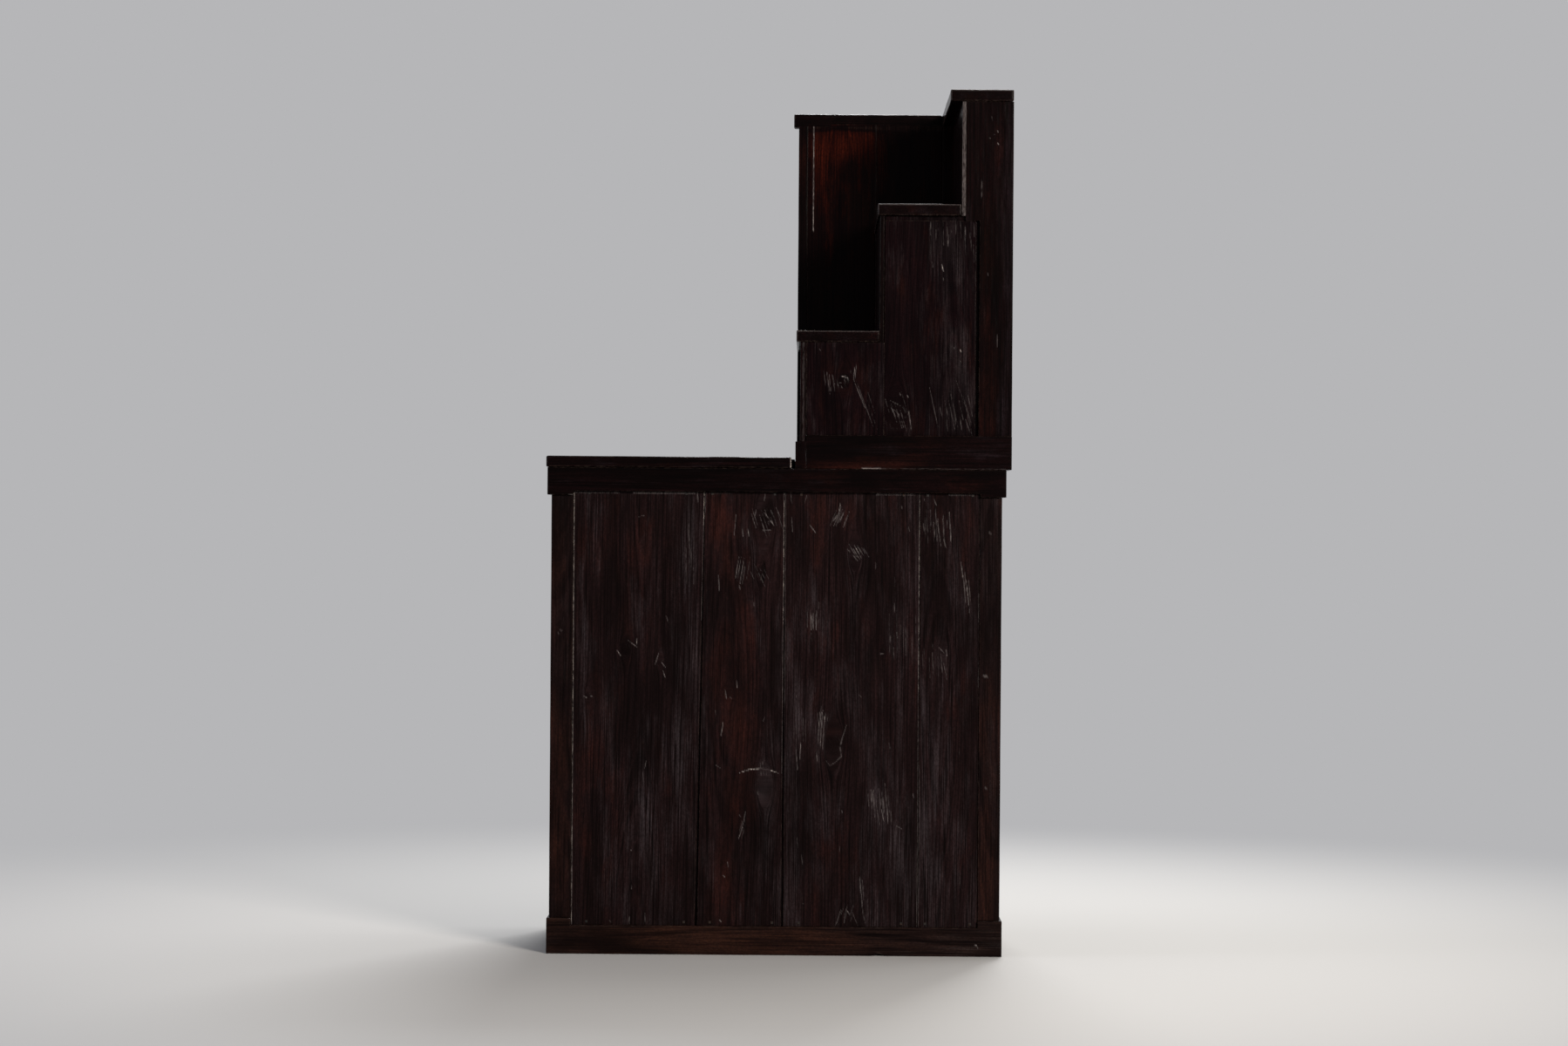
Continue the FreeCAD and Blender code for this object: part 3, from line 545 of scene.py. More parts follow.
plank_scars = {
    1: ((169, 658, 191, 642, 9), (190, 664, 188, 646, 8), (147, 637, 157, 623, 9),
        (236, 631, 228, 605, 8), (241, 612, 250, 601, 8), (245, 594, 251, 577, 7),
        (250, 708, 254, 695, 7), (78, 540, 87, 535, 7), (91, 541, 100, 537, 7),
        (292, 908, 295, 849, 5), (298, 849, 300, 823, 5), (290, 823, 291, 774, 4),
        (304, 810, 306, 774, 4), (308, 971, 311, 944, 8), (188, 916, 202, 919, 5),
        (213, 406, 210, 388, 6), (206, 384, 209, 351, 4), (181, 219, 184, 217, 9),
        (185, 146, 186, 136, 6), (182, 80, 182, 61, 8), (138, 71, 143, 65, 5), (216, 85, 217, 63, 5)),
    2: ((392, 921, 389, 879, 7), (406, 893, 408, 877, 8), (418, 894, 421, 876, 8),
        (400, 833, 393, 787, 7), (411, 830, 403, 777, 7), (357, 794, 359, 761, 7),
        (435, 933, 434, 921, 7), (452, 928, 475, 899, 9), (455, 967, 453, 951, 6),
        (478, 938, 489, 915, 6), (447, 889, 468, 890, 6), (451, 804, 446, 784, 5),
        (402, 773, 403, 765, 8), (433, 740, 434, 730, 6), (375, 555, 378, 536, 9),
        (399, 576, 400, 558, 8), (385, 540, 389, 536, 6), (355, 512, 356, 499, 5),
        (460, 500, 455, 487, 4), (372, 488, 368, 458, 8), (451, 402, 453, 374, 5),
        (456, 404, 459, 374, 5), (463, 402, 464, 372, 4), (446, 342, 448, 332, 6),
        (421, 302, 418, 272, 6), (417, 269, 407, 241, 8), (408, 294, 412, 288, 6),
        (356, 398, 369, 390, 5), (385, 196, 388, 182, 6), (377, 166, 381, 162, 9),
        (371, 73, 375, 68, 10), (408, 381, 428, 388, 451, 390, 468, 388, 489, 381, 11)),
    3: ((509, 971, 512, 945, 6), (512, 918, 514, 886, 6), (544, 967, 539, 946, 5),
        (614, 949, 611, 928, 8), (611, 928, 598, 908, 9), (617, 921, 604, 899, 7),
        (624, 913, 623, 898, 6), (549, 902, 564, 883, 8), (629, 851, 635, 845, 6),
        (643, 860, 659, 832, 9), (639, 841, 651, 826, 6), (659, 855, 667, 842, 6),
        (554, 711, 554, 681, 7), (559, 716, 559, 681, 6), (564, 715, 564, 681, 6),
        (570, 741, 569, 721, 4), (554, 675, 555, 655, 4), (689, 971, 694, 965, 8),
        (688, 825, 689, 808, 4), (742, 945, 743, 936, 5), (757, 899, 759, 890, 5),
        (729, 795, 729, 772, 4), (728, 740, 729, 718, 6), (733, 679, 735, 666, 6),
        (720, 671, 721, 656, 5), (727, 646, 728, 616, 5), (697, 634, 710, 631, 7),
        (753, 630, 755, 628, 10), (654, 547, 661, 541, 5), (523, 545, 524, 539, 6),
        (573, 508, 569, 435, 8), (578, 508, 574, 429, 8), (583, 502, 579, 429, 7),
        (523, 434, 527, 387, 6), (534, 449, 531, 409, 8), (566, 426, 569, 405, 8),
        (629, 482, 621, 456, 616, 436, 619, 417, 608, 406, 595, 397, 587, 407, 5),
        (682, 347, 684, 322, 5), (687, 347, 690, 290, 6), (695, 303, 700, 274, 6),
        (702, 333, 704, 309, 5), (704, 307, 709, 280, 7), (716, 317, 718, 274, 7),
        (724, 304, 725, 274, 6), (736, 330, 737, 314, 3), (770, 339, 772, 330, 7),
        (732, 274, 749, 265, 6), (620, 305, 622, 297, 7), (659, 167, 666, 90, 7),
        (666, 90, 671, 69, 5), (676, 120, 677, 74, 4), (621, 92, 607, 60, 5), (633, 95, 639, 83, 8),
        (644, 90, 655, 64, 5), (628, 83, 627, 66, 4), (526, 249, 528, 225, 4), (536, 210, 539, 186, 4),
        (616, 230, 617, 216, 4), (539, 110, 541, 106, 9), (719, 447, 721, 433, 4)),
    4: ((789, 959, 791, 951, 5), (809, 959, 815, 944, 7), (787, 909, 791, 885, 5),
        (795, 912, 798, 885, 4), (802, 909, 803, 885, 4), (810, 909, 813, 872, 5),
        (817, 912, 825, 859, 7), (831, 872, 836, 854, 6), (842, 931, 846, 867, 8),
        (867, 829, 872, 789, 7), (879, 788, 886, 718, 8), (823, 646, 833, 635, 7),
        (837, 643, 839, 630, 8), (827, 623, 830, 593, 5), (832, 616, 840, 576, 5),
        (808, 656, 810, 643, 4), (788, 639, 790, 579, 3), (866, 437, 867, 417, 3),
        (869, 185, 870, 138, 3)),
}
plank_hatches = {
    1: ((294, 828, 26, 118, 6, 0.0, 4),),
    2: ((459, 909, 64, 88, 8, 0.35, 6), (406, 801, 30, 66, 5, -0.15, 6), (449, 792, 46, 58, 4, 0.5, 5),
        (415, 268, 16, 66, 3, -0.25, 5)),
    3: ((699, 318, 50, 90, 9, 0.08, 6), (531, 470, 30, 110, 6, 0.0, 4), (579, 494, 26, 60, 5, -0.05, 7),
        (558, 704, 26, 50, 5, 0.0, 6), (746, 665, 58, 130, 9, 0.02, 4), (614, 922, 34, 60, 5, -0.4, 7),
        (653, 845, 34, 36, 5, 0.6, 7), (630, 88, 34, 46, 6, -0.3, 6), (665, 138, 12, 80, 2, 0.08, 6)),
    4: ((814, 905, 56, 95, 9, 0.06, 5), (815, 612, 54, 80, 6, 0.05, 4), (879, 774, 20, 98, 3, 0.1, 6)),
}
plank_lines = {
    1: (("left", 60, 969, 1.1), ("right", 900, 969, 1.1), ("right", 700, 900, 0.45)),
    2: (("left", 925, 969, 0.5), ("right", 690, 969, 1.05), ("right", 380, 690, 0.55)),
    3: (("left", 520, 969, 0.5), ("right", 540, 969, 0.85), ("right", 60, 540, 0.5)),
    4: (("left", 60, 400, 0.5), ("right", 560, 620, 0.5), ("right", 700, 760, 0.5)),
}


def hatched(groups, seed):
    """Strokes where a plane has lifted the grain, all one way, from groups (x, z, wide, high, number, lean,
    strength in tenths)."""
    draw = np.random.RandomState(seed)
    strokes = []
    for x, z, wide, high, number, lean, strength in groups:
        for share in (np.arange(number) + draw.uniform(0.1, 0.9, number)) / number:
            top, foot = z + high * draw.uniform(0.05, 0.5), z - high * draw.uniform(0.05, 0.5)
            middle = x + wide * (share - 0.5)
            strokes.append((middle - lean * (top - z), top, middle + lean * (z - foot), foot,
                            strength * draw.uniform(0.6, 1.1)))
    return tuple(strokes)


plank_head_line = 2.5
plank_head_pieces = ((56, 150, 0.8), (177, 305, 1.1), (333, 380, 0.5), (688, 773, 0.9), (840, 894, 0.8))
plank_tapers = {
    1: (("right", 5.5, -8.0, -2.4),),
    2: (("left", 5.5, -8.0, 2.0), ("right", 0.0, 0.0, -1.8)),
    3: (("left", 0.0, 0.0, 1.8),),
    4: (),
}


def weathered(knots, lines, scars, seed, tapers=()):
    """A rough back plank: soft wood worn from between its rings, plane and adze waves, raised and split
    knots, rubbed edges and scars, and an edge sawn out of upright and shrunk open outside at its foot
    (edge, millimetres to the right at its head, at its foot, and from shrinking). Nothing rubs the wood
    that lies deep in a joint."""
    marks = scarred(lines, scars)

    def relief(start, points, looks, values):
        x, z, back = (start[:, 0] - chest_left) / mm, start[:, 2] / mm, looks[:, 2]
        ridge = hills(seed + 5, values["ring"] / mm / 2.6, 0.5)
        bare = 0.3 + 0.9 * hills(seed + 6, x / 30, z / 130)
        depth = 0.55 * (1 - ridge) * bare + 0.4 * hills(seed + 7, x / 15, z / 90)
        depth += 0.25 * hills(seed + 8, x / 5, z / 25)
        for kx, kz, radius in knots:
            away = np.hypot(x - kx, 0.85 * (z - kz)) / radius
            turn = np.arctan2(z - kz, x - kx)
            depth = depth + 0.5 * np.exp(-((away - 1.05) / 0.25) ** 2) - 0.25 * np.clip(1 - away, 0, 1)
            split = np.clip(np.cos(3 * turn + kx) * 8 - 7, 0, 1) * (away < 0.9)
            torn = hills(seed + 9, (x - kx) / 3.5, (z - kz) / 6) * np.clip(1.9 - away, 0, 1) * (away > 0.9)
            depth = depth + 0.9 * split + 0.8 * torn
        points = points.copy()
        share = (start - start.min(0)) / (start.max(0) - start.min(0))
        for edge, head, foot, shrunk in tapers:
            beside = share[:, 0] if edge == "right" else 1 - share[:, 0]
            opened = shrunk * (1 - share[:, 2]) * (1 - share[:, 1])
            points[:, 0] += beside * (foot + (head - foot) * share[:, 2] + opened) * mm
        points[:, 1] += np.clip(depth, 0, 3) * mm * back
        points = marks(start, points, looks, values)
        for key in ("marks", "wear"):
            values[key] = values[key] * (start[:, 1] < start[:, 1].min() + rubbed_depth)
        return points
    return relief


plank_arris = 1.2 * mm
plank_steps = (1.6 * mm, 4 * mm, 2.6 * mm)
plank_tongue = 2.7 * mm
tongue_thick = 2.2 * mm
rubbed_depth = 5.2 * mm
for number, (low, high) in enumerate(plank_boxes, 1):
    # A thin tongue inside, along the right edge of all but the last, keeps light out of the joint.
    boards = [(low, high)]
    if number < 4:
        boards.append(((high[0] - plank_tongue, high[1] - tongue_thick, low[2]),
                       (high[0] + plank_tongue, high[1], high[2])))
    ends = {"left": (low[0] - chest_left) / mm, "right": (high[0] - chest_left) / mm}
    lines = [(0, ends[end], first, last, strength) for end, first, last, strength in plank_lines[number]]
    lines += [(2, high[2] / mm - plank_head_line, *piece) for piece in plank_head_pieces]
    seed = 90 + 10 * number
    wooden("back_plank_%d" % number, ["lower_back_plank_%d" % number], "chest", plank_lacquer, boards,
           steps=plank_steps, arris=plank_arris, seed=seed,
           knots=plank_knots[number], rust_and_painted_light=plank_rust_and_sheen[number], sealed=(3,),
           relief=weathered(plank_knots[number], lines,
                            plank_scars[number] + hatched(plank_hatches[number], number),
                            seed, plank_tapers[number]))


def forged_iron(name):
    """Hand-forged iron with its black scale: dark, dimpled by the hammer, brown with rust in the hollows."""
    material, tree, shader = finish_named(name, Metallic=0.85)
    place = node(tree, "TexCoord", {}, 3)
    dimples = node(tree, "TexVoronoi", {"Vector": place, "Scale": 160.0}, feature="SMOOTH_F1")
    scale = node(tree, "TexNoise", {"Vector": place, "Scale": 220.0, "Detail": 4.0})
    rust = node(tree, "MapRange", {"Value": scale, "From Min": 0.5, "From Max": 0.68, "To Max": 0.7})
    colour = node(tree, "Mix", {0: rust, 6: linear("#282625"), 7: linear("#3a271d")}, 2, data_type="RGBA")
    tree.links.new(colour, shader.inputs["Base Color"])
    rough = node(tree, "MapRange", {"Value": scale, "From Min": 0.3, "From Max": 0.7, "To Min": 0.42,
                                    "To Max": 0.68})
    tree.links.new(rough, shader.inputs["Roughness"])
    bump = node(tree, "Bump", {"Strength": 0.6, "Distance": 0.5 * mm, "Height": dimples})
    tree.links.new(bump, shader.inputs["Normal"])
    return material


iron = forged_iron("forged_iron_black_scale")
dress("back_nails", iron)

# Tracks and sliding doors of the lower chest
# Grooved cedar rails; each door is a mortised frame round a thin panel and lifts out upward.
# The finger hollow in the outer stile is cut by hand.
door_play = 0.5 * mm
track_arris, door_arris, panel_arris = 0.7 * mm, 1.3 * mm, 0.8 * mm
panel_steps = (2.6 * mm, 3 * mm, 7 * mm)
# The side that is seen in a room, kept better: even dark brown that reddens where hands reach.
front_lacquer = urushi_on_cedar(
    "urushi_on_smooth_cedar", "#0b0606", "#241415", "#3f1e14", "#2c2325", 0.52, 0.6, 2.6)
groove_depths = {"floor": 3 * mm, "head": 9 * mm}
door_stile, door_rail = 42 * mm, 48 * mm
hollow_radius, hollow_depth = 14 * mm, 3.5 * mm
hollow_field = 16 * mm
doors = {side: corners("door_%s_frame" % side) for side in ("left", "right")}
for place, depth in groove_depths.items():
    low, high = corners("lower_%s_track" % place)
    cuts = []
    for door_low, door_high in doors.values():
        cut_low, cut_high = low.copy(), high.copy()
        cut_low[1], cut_high[1] = door_low[1] - door_play, door_high[1] + door_play
        if place == "floor":
            cut_low[2] = high[2] - depth
        else:
            cut_high[2] = low[2] + depth
        cuts.append((cut_low, cut_high))
    wooden("door_track_" + place, ["lower_%s_track" % place], "chest", frame_lacquer, [(low, high)], cuts,
           along=0, arris=track_arris, seed=140 + len(place))


def hollowed(x, z, radius, depth):
    """Cuts a round finger hollow in the front face of a stile."""
    def relief(start, points, looks, values):
        away = np.hypot(start[:, 0] - x, start[:, 2] - z) / radius
        points = points.copy()
        points[:, 1] -= looks[:, 3] * depth * np.clip((1 - away) / 0.12, 0, 1) * 0.97
        values["wear"] = np.maximum(values["wear"], looks[:, 3] * np.exp(-((away - 1) / 0.08) ** 2) * 0.7)
        return points
    return relief


for side, (low, high) in doors.items():
    body = "door_" + side
    stiles = {"left": (low[0], low[0] + door_stile), "right": (high[0] - door_stile, high[0])}
    for number, (end, (first, last)) in enumerate(stiles.items()):
        box = ((first, low[1], low[2]), (last, high[1], high[2]))
        hollow_x, hollow_z = (first + last) / 2, (low[2] + high[2]) / 2
        outer = end == side
        fine = {n: ((middle - hollow_field, middle + hollow_field, 1 * mm),) for n, middle in
                ((0, hollow_x), (2, hollow_z))}
        wooden("%s_stile_%s" % (body, end), [body + "_frame"] if number == 0 else [], body, frame_lacquer,
               [box], seed=151 + number + len(side), arris=door_arris, close=fine if outer else None,
               relief=hollowed(hollow_x, hollow_z, hollow_radius, hollow_depth) if outer else None)
    rails = {"foot": (low[2], low[2] + door_rail), "head": (high[2] - door_rail, high[2])}
    for number, (end, (first, last)) in enumerate(rails.items()):
        box = ((low[0] + door_stile, low[1], first), (high[0] - door_stile, high[1], last))
        wooden("%s_rail_%s" % (body, end), [], body, frame_lacquer, [box], along=0, arris=door_arris,
               seed=161 + number + len(side))
    wooden(body + "_board", [body + "_panel"], body, front_lacquer, [corners(body + "_panel")],
           steps=panel_steps, arris=panel_arris, seed=171 + len(side))

# Wide drawer of the lower chest
# A thick lacquered front on a box of thin bare boards; two forged plates with posts carry the bails.
drawer_face_steps = (7 * mm, 4 * mm, 2.6 * mm)
drawer_side, drawer_bottom = 12 * mm, 8 * mm
box_arris, box_ripple = 0.7 * mm, 0.2 * mm
box_steps = (9 * mm, 9 * mm, 9 * mm)
wooden("lower_drawer_face", ["lower_drawer_front"], "lower_drawer", front_lacquer,
       [corners("lower_drawer_front")], along=0, steps=drawer_face_steps, seed=181)


def planed_kiri(name):
    """Paulownia planed by hand and never finished: light, dry and silvery tan, with narrow brown rings,
    handled to a darker tone along its edges."""
    material, tree, shader = finish_named(name, IOR=1.45, Specular_IOR_Level=0.25)
    grain = node(tree, "Attribute", {}, 1, attribute_name="grain")
    ring, wear = (node(tree, "Attribute", {}, 2, attribute_name=key) for key in ("ring", "wear"))
    fine = fibres(tree, grain, 1.6, 60, 3.0, 0.6)
    stain = fibres(tree, grain, 40, 130, 4.0, 0.6)
    rings = node(tree, "Math", {0: ring, 1: 1000 / 5.5}, operation="MULTIPLY")
    rings = node(tree, "TexNoise", {"W": rings, "Scale": 1.0, "Detail": 2.0}, noise_dimensions="1D")
    rings = node(tree, "MapRange", {"Value": rings, "From Min": 0.42, "From Max": 0.66})
    pores = node(tree, "MapRange", {"Value": fine, "From Min": 0.5, "From Max": 0.7, "To Max": 0.6})
    stained = node(tree, "MapRange", {"Value": stain, "From Min": 0.45, "From Max": 0.72, "To Max": 0.6})
    handled = node(tree, "Math", {0: wear, 1: 0.5}, operation="MULTIPLY")
    wood = linear("#84705a")
    layers = ((rings, "#6a5642"), (pores, "#54432f"), (stained, "#4b3b2c"), (handled, "#3a2c20"))
    for share, colour in layers:
        wood = node(tree, "Mix", {0: share, 6: wood, 7: linear(colour)}, 2, data_type="RGBA")
    tree.links.new(wood, shader.inputs["Base Color"])
    rough = node(tree, "MapRange", {"Value": fine, "From Min": 0.3, "From Max": 0.7, "To Min": 0.85,
                                    "To Max": 0.7})
    tree.links.new(rough, shader.inputs["Roughness"])
    bump = node(tree, "Bump", {"Strength": 1.0, "Distance": 0.12 * mm, "Height": fine})
    tree.links.new(bump, shader.inputs["Normal"])
    return material


kiri = planed_kiri("kiri_planed_bare")


def drawer_box(drawer, seed):
    """The two sides, back and bottom of a drawer, butted and pinned together."""
    low, high = corners(drawer + "_box")
    left, right, back = low[0] + drawer_side, high[0] - drawer_side, low[1] + drawer_side
    floor = low[2] + drawer_bottom
    boards = {
        "side_left": ((low[0], low[1], floor), (left, high[1], high[2]), 1),
        "side_right": ((right, low[1], floor), high, 1),
        "back": ((left, low[1], floor), (right, back, high[2]), 0),
        "bottom": (low, (high[0], high[1], floor), 0),
    }
    for number, (place, (first, last, along)) in enumerate(boards.items()):
        wooden(drawer + "_" + place, [drawer + "_box"] if number == 0 else [], drawer, kiri, [(first, last)],
               along=along, arris=box_arris, seed=seed + number, ripple=box_ripple,
               steps=box_steps)


drawer_box("lower_drawer", 184)
for fitting in ("lower_drawer_bail_posts", "lower_drawer_bail_left", "lower_drawer_bail_right"):
    dress(fitting, iron)

# Landing board
# One wide cedar board laid on the left half of the lower chest, its upper edges rounded by feet.
# It reaches the upper plinth everywhere but at the back, where its end has torn away.
tread_arris = 4 * mm
tread_hollow = 0.7 * mm
landing_ripple, tread_ripple, cap_ripple = 0.8 * mm, 0.7 * mm, 0.5 * mm
tread_steps = (5 * mm, 5 * mm, 4 * mm)


def trodden(seed, marks=None):
    """The top of a step: dulled and hollowed a little where feet land, and rubbed at its edge."""
    def relief(start, points, looks, values):
        if marks:
            points = marks(start, points, looks, values)
        points = points.copy()
        low, high = start.min(0), start.max(0)
        across = (start - (low + high) / 2) / (high - low) * 2
        landed = np.exp(-(across[:, 0] / 0.75) ** 2 - (across[:, 1] / 0.62) ** 2) * looks[:, 5]
        patchy = hills(seed, start[:, 0] / 0.045, start[:, 1] / 0.1)
        patchy *= hills(seed + 1, start[:, 0] / 0.012, start[:, 1] / 0.05)
        points[:, 2] -= tread_hollow * landed
        values["wear"] = np.maximum(values["wear"], landed * (0.12 + 0.7 * patchy))
        return points
    return relief


landing_torn = 110 * mm
landing_play, stub_drop = 0.5 * mm, 1.5 * mm
low, high = corners("landing_board")
stub_end = corners("upper_plinth_left")[0][0] - landing_play
stub_high = (stub_end, high[1], high[2] - stub_drop)
stub_low = (high[0] - tread_arris, low[1] + landing_torn, low[2])
landing_end = (high[0] - chest_left) / mm
wooden("landing", ["landing_board"], "chest", frame_lacquer, [(low, high), (stub_low, stub_high)], along=0,
       arris=tread_arris, steps=tread_steps, seed=201, ripple=landing_ripple,
       relief=trodden(204, scarred([(0, landing_end - 1, low[2] / mm, high[2] / mm, 1.2)], reach=2.5)))

# Plinth and floor of the upper chest
# Four cedar boards on edge round a plain floor board, standing on the lower chest's top.
# The left one runs through and shows its end grain at the back.
upper_plinth_line_pieces = ((655, 700, 0.62), (700, 960, 0.22))
upper_plinth_rust = ((640, 1025, 140, 16, 2.0),)
upper_plinth_arris = 0.7 * mm
for number, place in enumerate(("left", "back", "front", "right")):
    low, high = corners("upper_plinth_" + place)
    lines = [(2, low[2] / mm + 1, *piece) for piece in upper_plinth_line_pieces]
    wooden("upper_plinth_board_" + place, ["upper_plinth_" + place], "chest", frame_lacquer, [(low, high)],
           along=0 if place in ("back", "front") else 1, seed=211 + number,
           relief=scarred(lines) if place == "back" else None, rust_and_painted_light=upper_plinth_rust,
           arris=upper_plinth_arris)
dress("upper_floor_board", cedar_across)

# Risers and treads
# Each tread is one board housed on its riser; the risers' edges show pale at the back, where the
# lacquer has rubbed off. Feet have rounded and dulled the treads.
riser_pale = {1: (0.26, 3.0), 2: (0.34, 3.0), 3: (0.8, 4.6)}
for number in (1, 2, 3):
    low, high = corners("riser_%d" % number)
    middle = ((low[0] + high[0]) / 2 - chest_left) / mm
    strength, reach = riser_pale[number]
    edge = scarred([(0, middle, low[2] / mm, high[2] / mm, strength)], reach=reach)
    wooden("riser_board_%d" % number, ["riser_%d" % number], "chest", frame_lacquer, [(low, high)],
           seed=221 + number, relief=edge, arris=plank_arris)
for number in (1, 2, 3):
    low, high = corners("tread_%d" % number)
    left, right = (low[0] - chest_left) / mm, (high[0] - chest_left) / mm
    edges = scarred([(2, high[2] / mm - 1, left, right, 0.4), (0, left, low[2] / mm, high[2] / mm, 0.45)],
                    reach=3.0)
    wooden("tread_board_%d" % number, ["tread_%d" % number], "chest", frame_lacquer, [(low, high)], along=1,
           arris=tread_arris, steps=tread_steps, seed=231 + number, ripple=tread_ripple,
           relief=trodden(234 + number, edges))

# Stepped back boards of the upper chest
# Three upright cedar boards of unlike height nailed behind the risers; the middle one lies deeper and
# is knotty at its foot.
# Darker than the planks below, with grey sheen painted where the grain stands up.
upper_lacquer = urushi_on_cedar(
    "urushi_thick_on_knotty_cedar", "#060304", "#1c0e10", "#30160f", "#3b3436", 0.54, 0.48, 2.3)
upper_knots = {
    "low": ((619, 1203, 11),),
    "middle": ((729, 1132, 22),),
    "tall": (),
}
# Patches of rust, and with a negative strength painted grey sheen; the strip down the tall board's right
# edge is painted shade with painted sheen.
upper_rust_and_sheen = {
    "low": ((580, 1240, 60, 60, 0.5), (640, 1160, 40, 60, 0.4)),
    "middle": ((770, 1420, 60, 120, 0.5), (740, 1250, 60, 80, 0.6), (830, 1460, 60, 80, -0.9),
               (860, 1150, 40, 90, -0.8)),
    "tall": ((915, 1400, 25, 400, 1.2), (962, 1500, 10, 500, -1.1), (955, 1120, 20, 60, -1.0)),
}
shadow_gap, shadow_depth = 7 * mm, 9 * mm
upper_board_steps = (1.6 * mm, 5 * mm, 2.6 * mm)
upper_scars = {
    "low": ((583, 1224, 590, 1175, 7), (594, 1218, 600, 1196, 5), (614, 1213, 628, 1210, 8),
        (620, 1207, 623, 1199, 8), (609, 1199, 617, 1201, 6), (613, 1194, 617, 1186, 5),
        (642, 1233, 639, 1202, 7), (642, 1200, 665, 1144, 6), (648, 1196, 682, 1106, 4),
        (567, 1270, 571, 1266, 5)),
    "middle": ((823, 1449, 826, 1434, 10), (802, 1454, 804, 1442, 4), (826, 1421, 827, 1413, 5),
        (837, 1512, 835, 1484, 7), (862, 1272, 865, 1264, 10), (849, 1276, 851, 1271, 6),
        (862, 1248, 864, 1243, 6), (755, 1144, 761, 1103, 9), (736, 1179, 739, 1173, 8),
        (752, 1175, 755, 1168, 7), (717, 1163, 740, 1151, 5), (721, 1148, 737, 1132, 5),
        (740, 1125, 745, 1106, 5), (835, 1126, 837, 1100, 6), (852, 1145, 854, 1107, 4),
        (863, 1130, 867, 1100, 6), (874, 1126, 885, 1095, 5), (852, 1212, 874, 1152, 3),
        (869, 1175, 889, 1107, 3)),
    "tall": ((939, 1306, 940, 1276, 5), (918, 1434, 920, 1423, 4), (937, 1730, 938, 1726, 8),
        (930, 1721, 932, 1719, 7), (921, 1715, 922, 1712, 7), (938, 1703, 940, 1699, 9),
        (905, 1632, 905, 1582, 6), (924, 1762, 927, 1748, 3)),
}
upper_hatches = {
    "low": ((588, 1205, 26, 60, 3, 0.12, 5), (637, 1222, 16, 50, 2, -0.1, 5),
            (668, 1157, 30, 120, 3, 0.35, 3)),
    "middle": ((845, 1518, 100, 60, 11, 0.02, 4.5), (877, 1480, 36, 90, 4, 0.05, 3.5),
               (850, 1140, 84, 110, 8, 0.22, 4), (732, 1140, 44, 84, 5, 0.3, 5)),
    "tall": (),
}
boards = {place: corners("upper_back_board_" + place) for place in ("low", "middle", "tall")}
riser_edge = corners("riser_3")[1][0]
step_depth, step_height = 5 * mm, 10 * mm
for number, (place, (low, high)) in enumerate(boards.items()):
    seed, cuts = 251 + 10 * number, []
    if place == "middle":
        step_foot = high[2] - step_height
        cuts = [((low[0], low[1], step_foot), (high[0], low[1] + step_depth, high[2])),
                ((riser_edge, low[1], step_foot), high),
                ((high[0] - shadow_gap, low[1], low[2]), (high[0], low[1] + shadow_depth, high[2]))]
    if place == "tall":
        joint = boards["middle"][1][0]
        cuts = [(low, (joint, high[1], step_foot))]
    wooden("stepped_back_" + place, ["upper_back_board_" + place], "chest",
           frame_lacquer if place == "tall" else upper_lacquer, [(low, high)],
           cuts, steps=upper_board_steps, arris=plank_arris, seed=seed,
           knots=upper_knots[place], rust_and_painted_light=upper_rust_and_sheen[place], sealed=(3,),
           relief=weathered(upper_knots[place], (),
                            upper_scars[place] + hatched(upper_hatches[place], number), seed))

# Right side of the upper chest, its dust board and wall behind the stair well
# Wide upright boards between slim posts, with a rail over the drawer and a thick cap on top.
wall_plank_shares = (0.37, 0.36, 0.27)
wall_plank_lap = 1.2 * mm
wall_plank_tongue = 3 * mm
wall_cap_lip = 6 * mm
wall_line = (0, 553, 1555, 1790, 0.8)
wall_steps = (2.0 * mm, 4 * mm, 6 * mm)
# Painted light on the stair well's wall: a red-brown pool of light at its top left, where light falls in,
# and a painted shadow line under the cap, where the rust-red is taken out.
wall_painted_light = ((615, 1760, 70, 48, 2.8), (572, 1690, 40, 80, 1.1), (700, 1784, 400, 5, -4.0))
# Near black, and black in the stair well's shade; the red-brown near the well's mouth is a painted pool of
# light, laid on by the rust layer.
wall_lacquer = urushi_on_cedar(
    "urushi_thin_on_cedar_with_painted_light", "#060203", "#1b0b09", "#4c1a0e", "#2c1f1c", 0.56, 0.62, 2.3)
wooden("upper_side_board", ["upper_side_right"], "chest", plank_lacquer, [corners("upper_side_right")],
       steps=side_steps, seed=301, sealed=(0,))
# The red-brown patch at the top of the left post is a painted pool of light, where light falls into the
# stair well.
for number, side in enumerate(("left", "right")):
    wooden("wall_post_board_" + side, ["wall_post_" + side], "chest", frame_lacquer,
           [corners("wall_post_" + side)], seed=303 + number, rust_and_painted_light=((539, 1712, 18, 60, 3.0),))
wooden("wall_rail_board", ["wall_rail"], "chest", frame_lacquer, [corners("wall_rail")], along=0, seed=307)
low, high = corners("wall_planks")
low[0] = corners("wall_post_left")[1][0]
high[2] += wall_plank_tongue
edges = low[0] + (high[0] - low[0]) * np.cumsum((0,) + wall_plank_shares)
for number, (first, last) in enumerate(zip(edges, edges[1:])):
    box = ((first - wall_plank_lap, low[1], low[2]), (last, high[1], high[2]))
    wooden("wall_plank_%d" % (number + 1), ["wall_planks"] if number == 0 else [], "chest", wall_lacquer,
           [box], steps=wall_steps, seed=311 + number, rust_and_painted_light=wall_painted_light,
           relief=scarred([wall_line] if number == 0 else []))
low, high = corners("wall_cap")
low[2] -= wall_cap_lip
high[0] = corners("tread_3")[0][0]
housed_low = (high[0] - tread_arris, low[1], low[2])
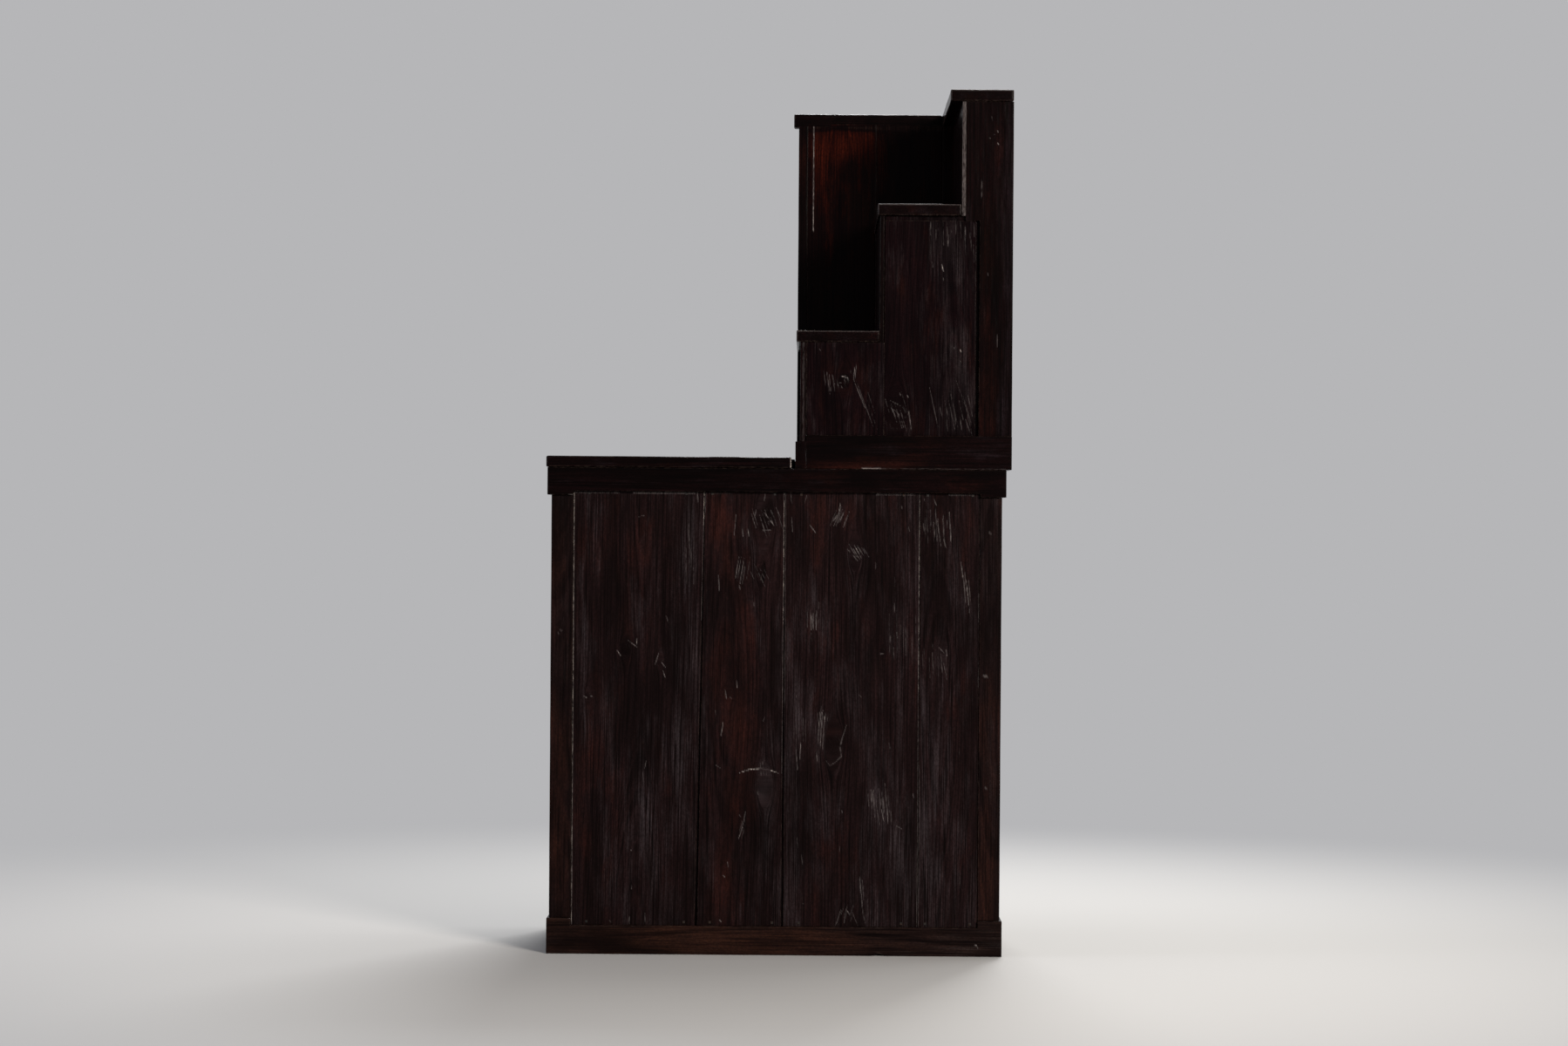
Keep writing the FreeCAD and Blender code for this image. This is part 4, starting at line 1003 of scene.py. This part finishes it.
housed_high = (corners("riser_3")[0][0], high[1], high[2] - stub_drop)
wooden("wall_cap_board", ["wall_cap"], "chest", frame_lacquer, [(low, high), (housed_low, housed_high)],
       along=0, arris=tread_arris, steps=tread_steps, seed=321, ripple=cap_ripple)
dress("upper_dust_board", cedar_across)

# Drawer of the upper chest
# The same work as the wide drawer: a lacquered cedar front on a box of bare kiri boards.
# One forged plate with two posts carries its one bail.
wooden("upper_drawer_face", ["upper_drawer_front"], "upper_drawer", front_lacquer,
       [corners("upper_drawer_front")], along=0, steps=drawer_face_steps, seed=331)
drawer_box("upper_drawer", 334)
dress("upper_drawer_bail_posts", iron)
dress("upper_drawer_bail", iron)

# Studio
# The eye stands square to the plain back, 905 mm above the floor, turned a little to the left.
millimetres_per_pixel = 1.8233
picture_width = 1799
eye_height = 905 * mm
eye_distance = 7.46
vanishing_x = 62 * mm
sensor = 36.0
scene = bpy.context.scene
scene.view_settings.view_transform = "Standard"
camera_data = bpy.data.cameras.new("camera")
camera_data.sensor_width = sensor
camera_data.lens = sensor * eye_distance / (picture_width * millimetres_per_pixel * mm)
camera = bpy.data.objects.new("camera", camera_data)
scene.collection.objects.link(camera)
yaw, roll = math.radians(0.386), math.radians(0.4)
level = Matrix.Rotation(math.radians(90), 4, "X")
turn = Matrix.Rotation(yaw, 4, "Z") @ level @ Matrix.Rotation(roll, 4, "Z")
eye = (vanishing_x, corners("lower_band_back")[0][1] - eye_distance, eye_height)
camera.matrix_world = Matrix.Translation(eye) @ turn
scene.camera = camera


def straight_seen(tree):
    """1 for what the eye meets directly, in a gloss or through glass, and 0 for light that only scatters."""
    rays = ("Is Camera Ray", "Is Glossy Ray", "Is Transmission Ray")
    seen = [node(tree, "LightPath", {}, ray) for ray in rays]
    either = node(tree, "Math", {0: seen[0], 1: seen[1]}, operation="MAXIMUM")
    return node(tree, "Math", {0: either, 1: seen[2]}, operation="MAXIMUM")


# Near the chest the floor is matt paint that takes its shadow; farther out it glows into the backdrop.
floor_reach = 40.0
glow_start, glow_full = 0.9, 3.2
floor_mesh = bpy.data.meshes.new("studio_floor")
floor_corners = [(x * floor_reach, y * floor_reach, 0) for x, y in ((-1, -1), (1, -1), (1, 1), (-1, 1))]
floor_mesh.from_pydata(floor_corners, [], [(0, 1, 2, 3)])
floor = bpy.data.objects.new("studio_floor", floor_mesh)
scene.collection.objects.link(floor)
floor_paint, tree, shader = finish_named("matt_pale_floor", Roughness=0.85, Base_Color=linear("#b9b8b6"))
backdrop = linear("#b6b6b8")
floor.data.materials.append(floor_paint)
seen = straight_seen(tree)
away = node(tree, "VectorMath", {0: node(tree, "TexCoord", {}, 3)}, 1, operation="LENGTH")
away = node(tree, "MapRange", {"Value": away, "From Min": glow_start, "From Max": glow_full},
            interpolation_type="SMOOTHSTEP")
away = node(tree, "Math", {0: away, 1: seen}, operation="MULTIPLY")
glow = node(tree, "Emission", {"Color": backdrop, "Strength": 1.0})
paint = node(tree, "MixShader", {0: away, 1: shader.outputs[0], 2: glow})
tree.links.new(paint, tree.nodes["Material Output"].inputs[0])

world = bpy.data.worlds.new("studio")
scene.world = world
world.use_nodes = True
tree = world.node_tree
seen = node(tree, "MapRange", {"Value": straight_seen(tree), "To Min": 0.18})
tree.nodes["Background"].inputs[0].default_value = backdrop
tree.links.new(seen, tree.nodes["Background"].inputs[1])


def softbox(name, place, aim, size, watts, tint):
    """A large soft lamp at a place, turned to what it lights."""
    data = bpy.data.lights.new(name, "AREA")
    data.shape = "RECTANGLE"
    data.size, data.size_y = size
    data.energy = watts
    data.color = linear(tint)[:3]
    lamp = bpy.data.objects.new(name, data)
    scene.collection.objects.link(lamp)
    lamp.location = place
    lamp.rotation_euler = (Vector(aim) - Vector(place)).to_track_quat("-Z", "Y").to_euler()


softbox("key", (2.5, -4.6, 2.5), (0.1, 0, 1.1), (1.3, 1.3), 275, "#fff6ec")
softbox("side_fill", (-4.6, -0.5, 2.0), (0, 0, 0.9), (2.0, 2.6), 88, "#f2f4ff")
softbox("overhead", (1.7, 1.6, 4.2), (0.2, 0.2, 0.8), (2.6, 2.6), 60, "#ffffff")
softbox("front_key", (1.0, 5.0, 4.6), (0, 0, 0.9), (2.6, 2.6), 430, "#ffffff")
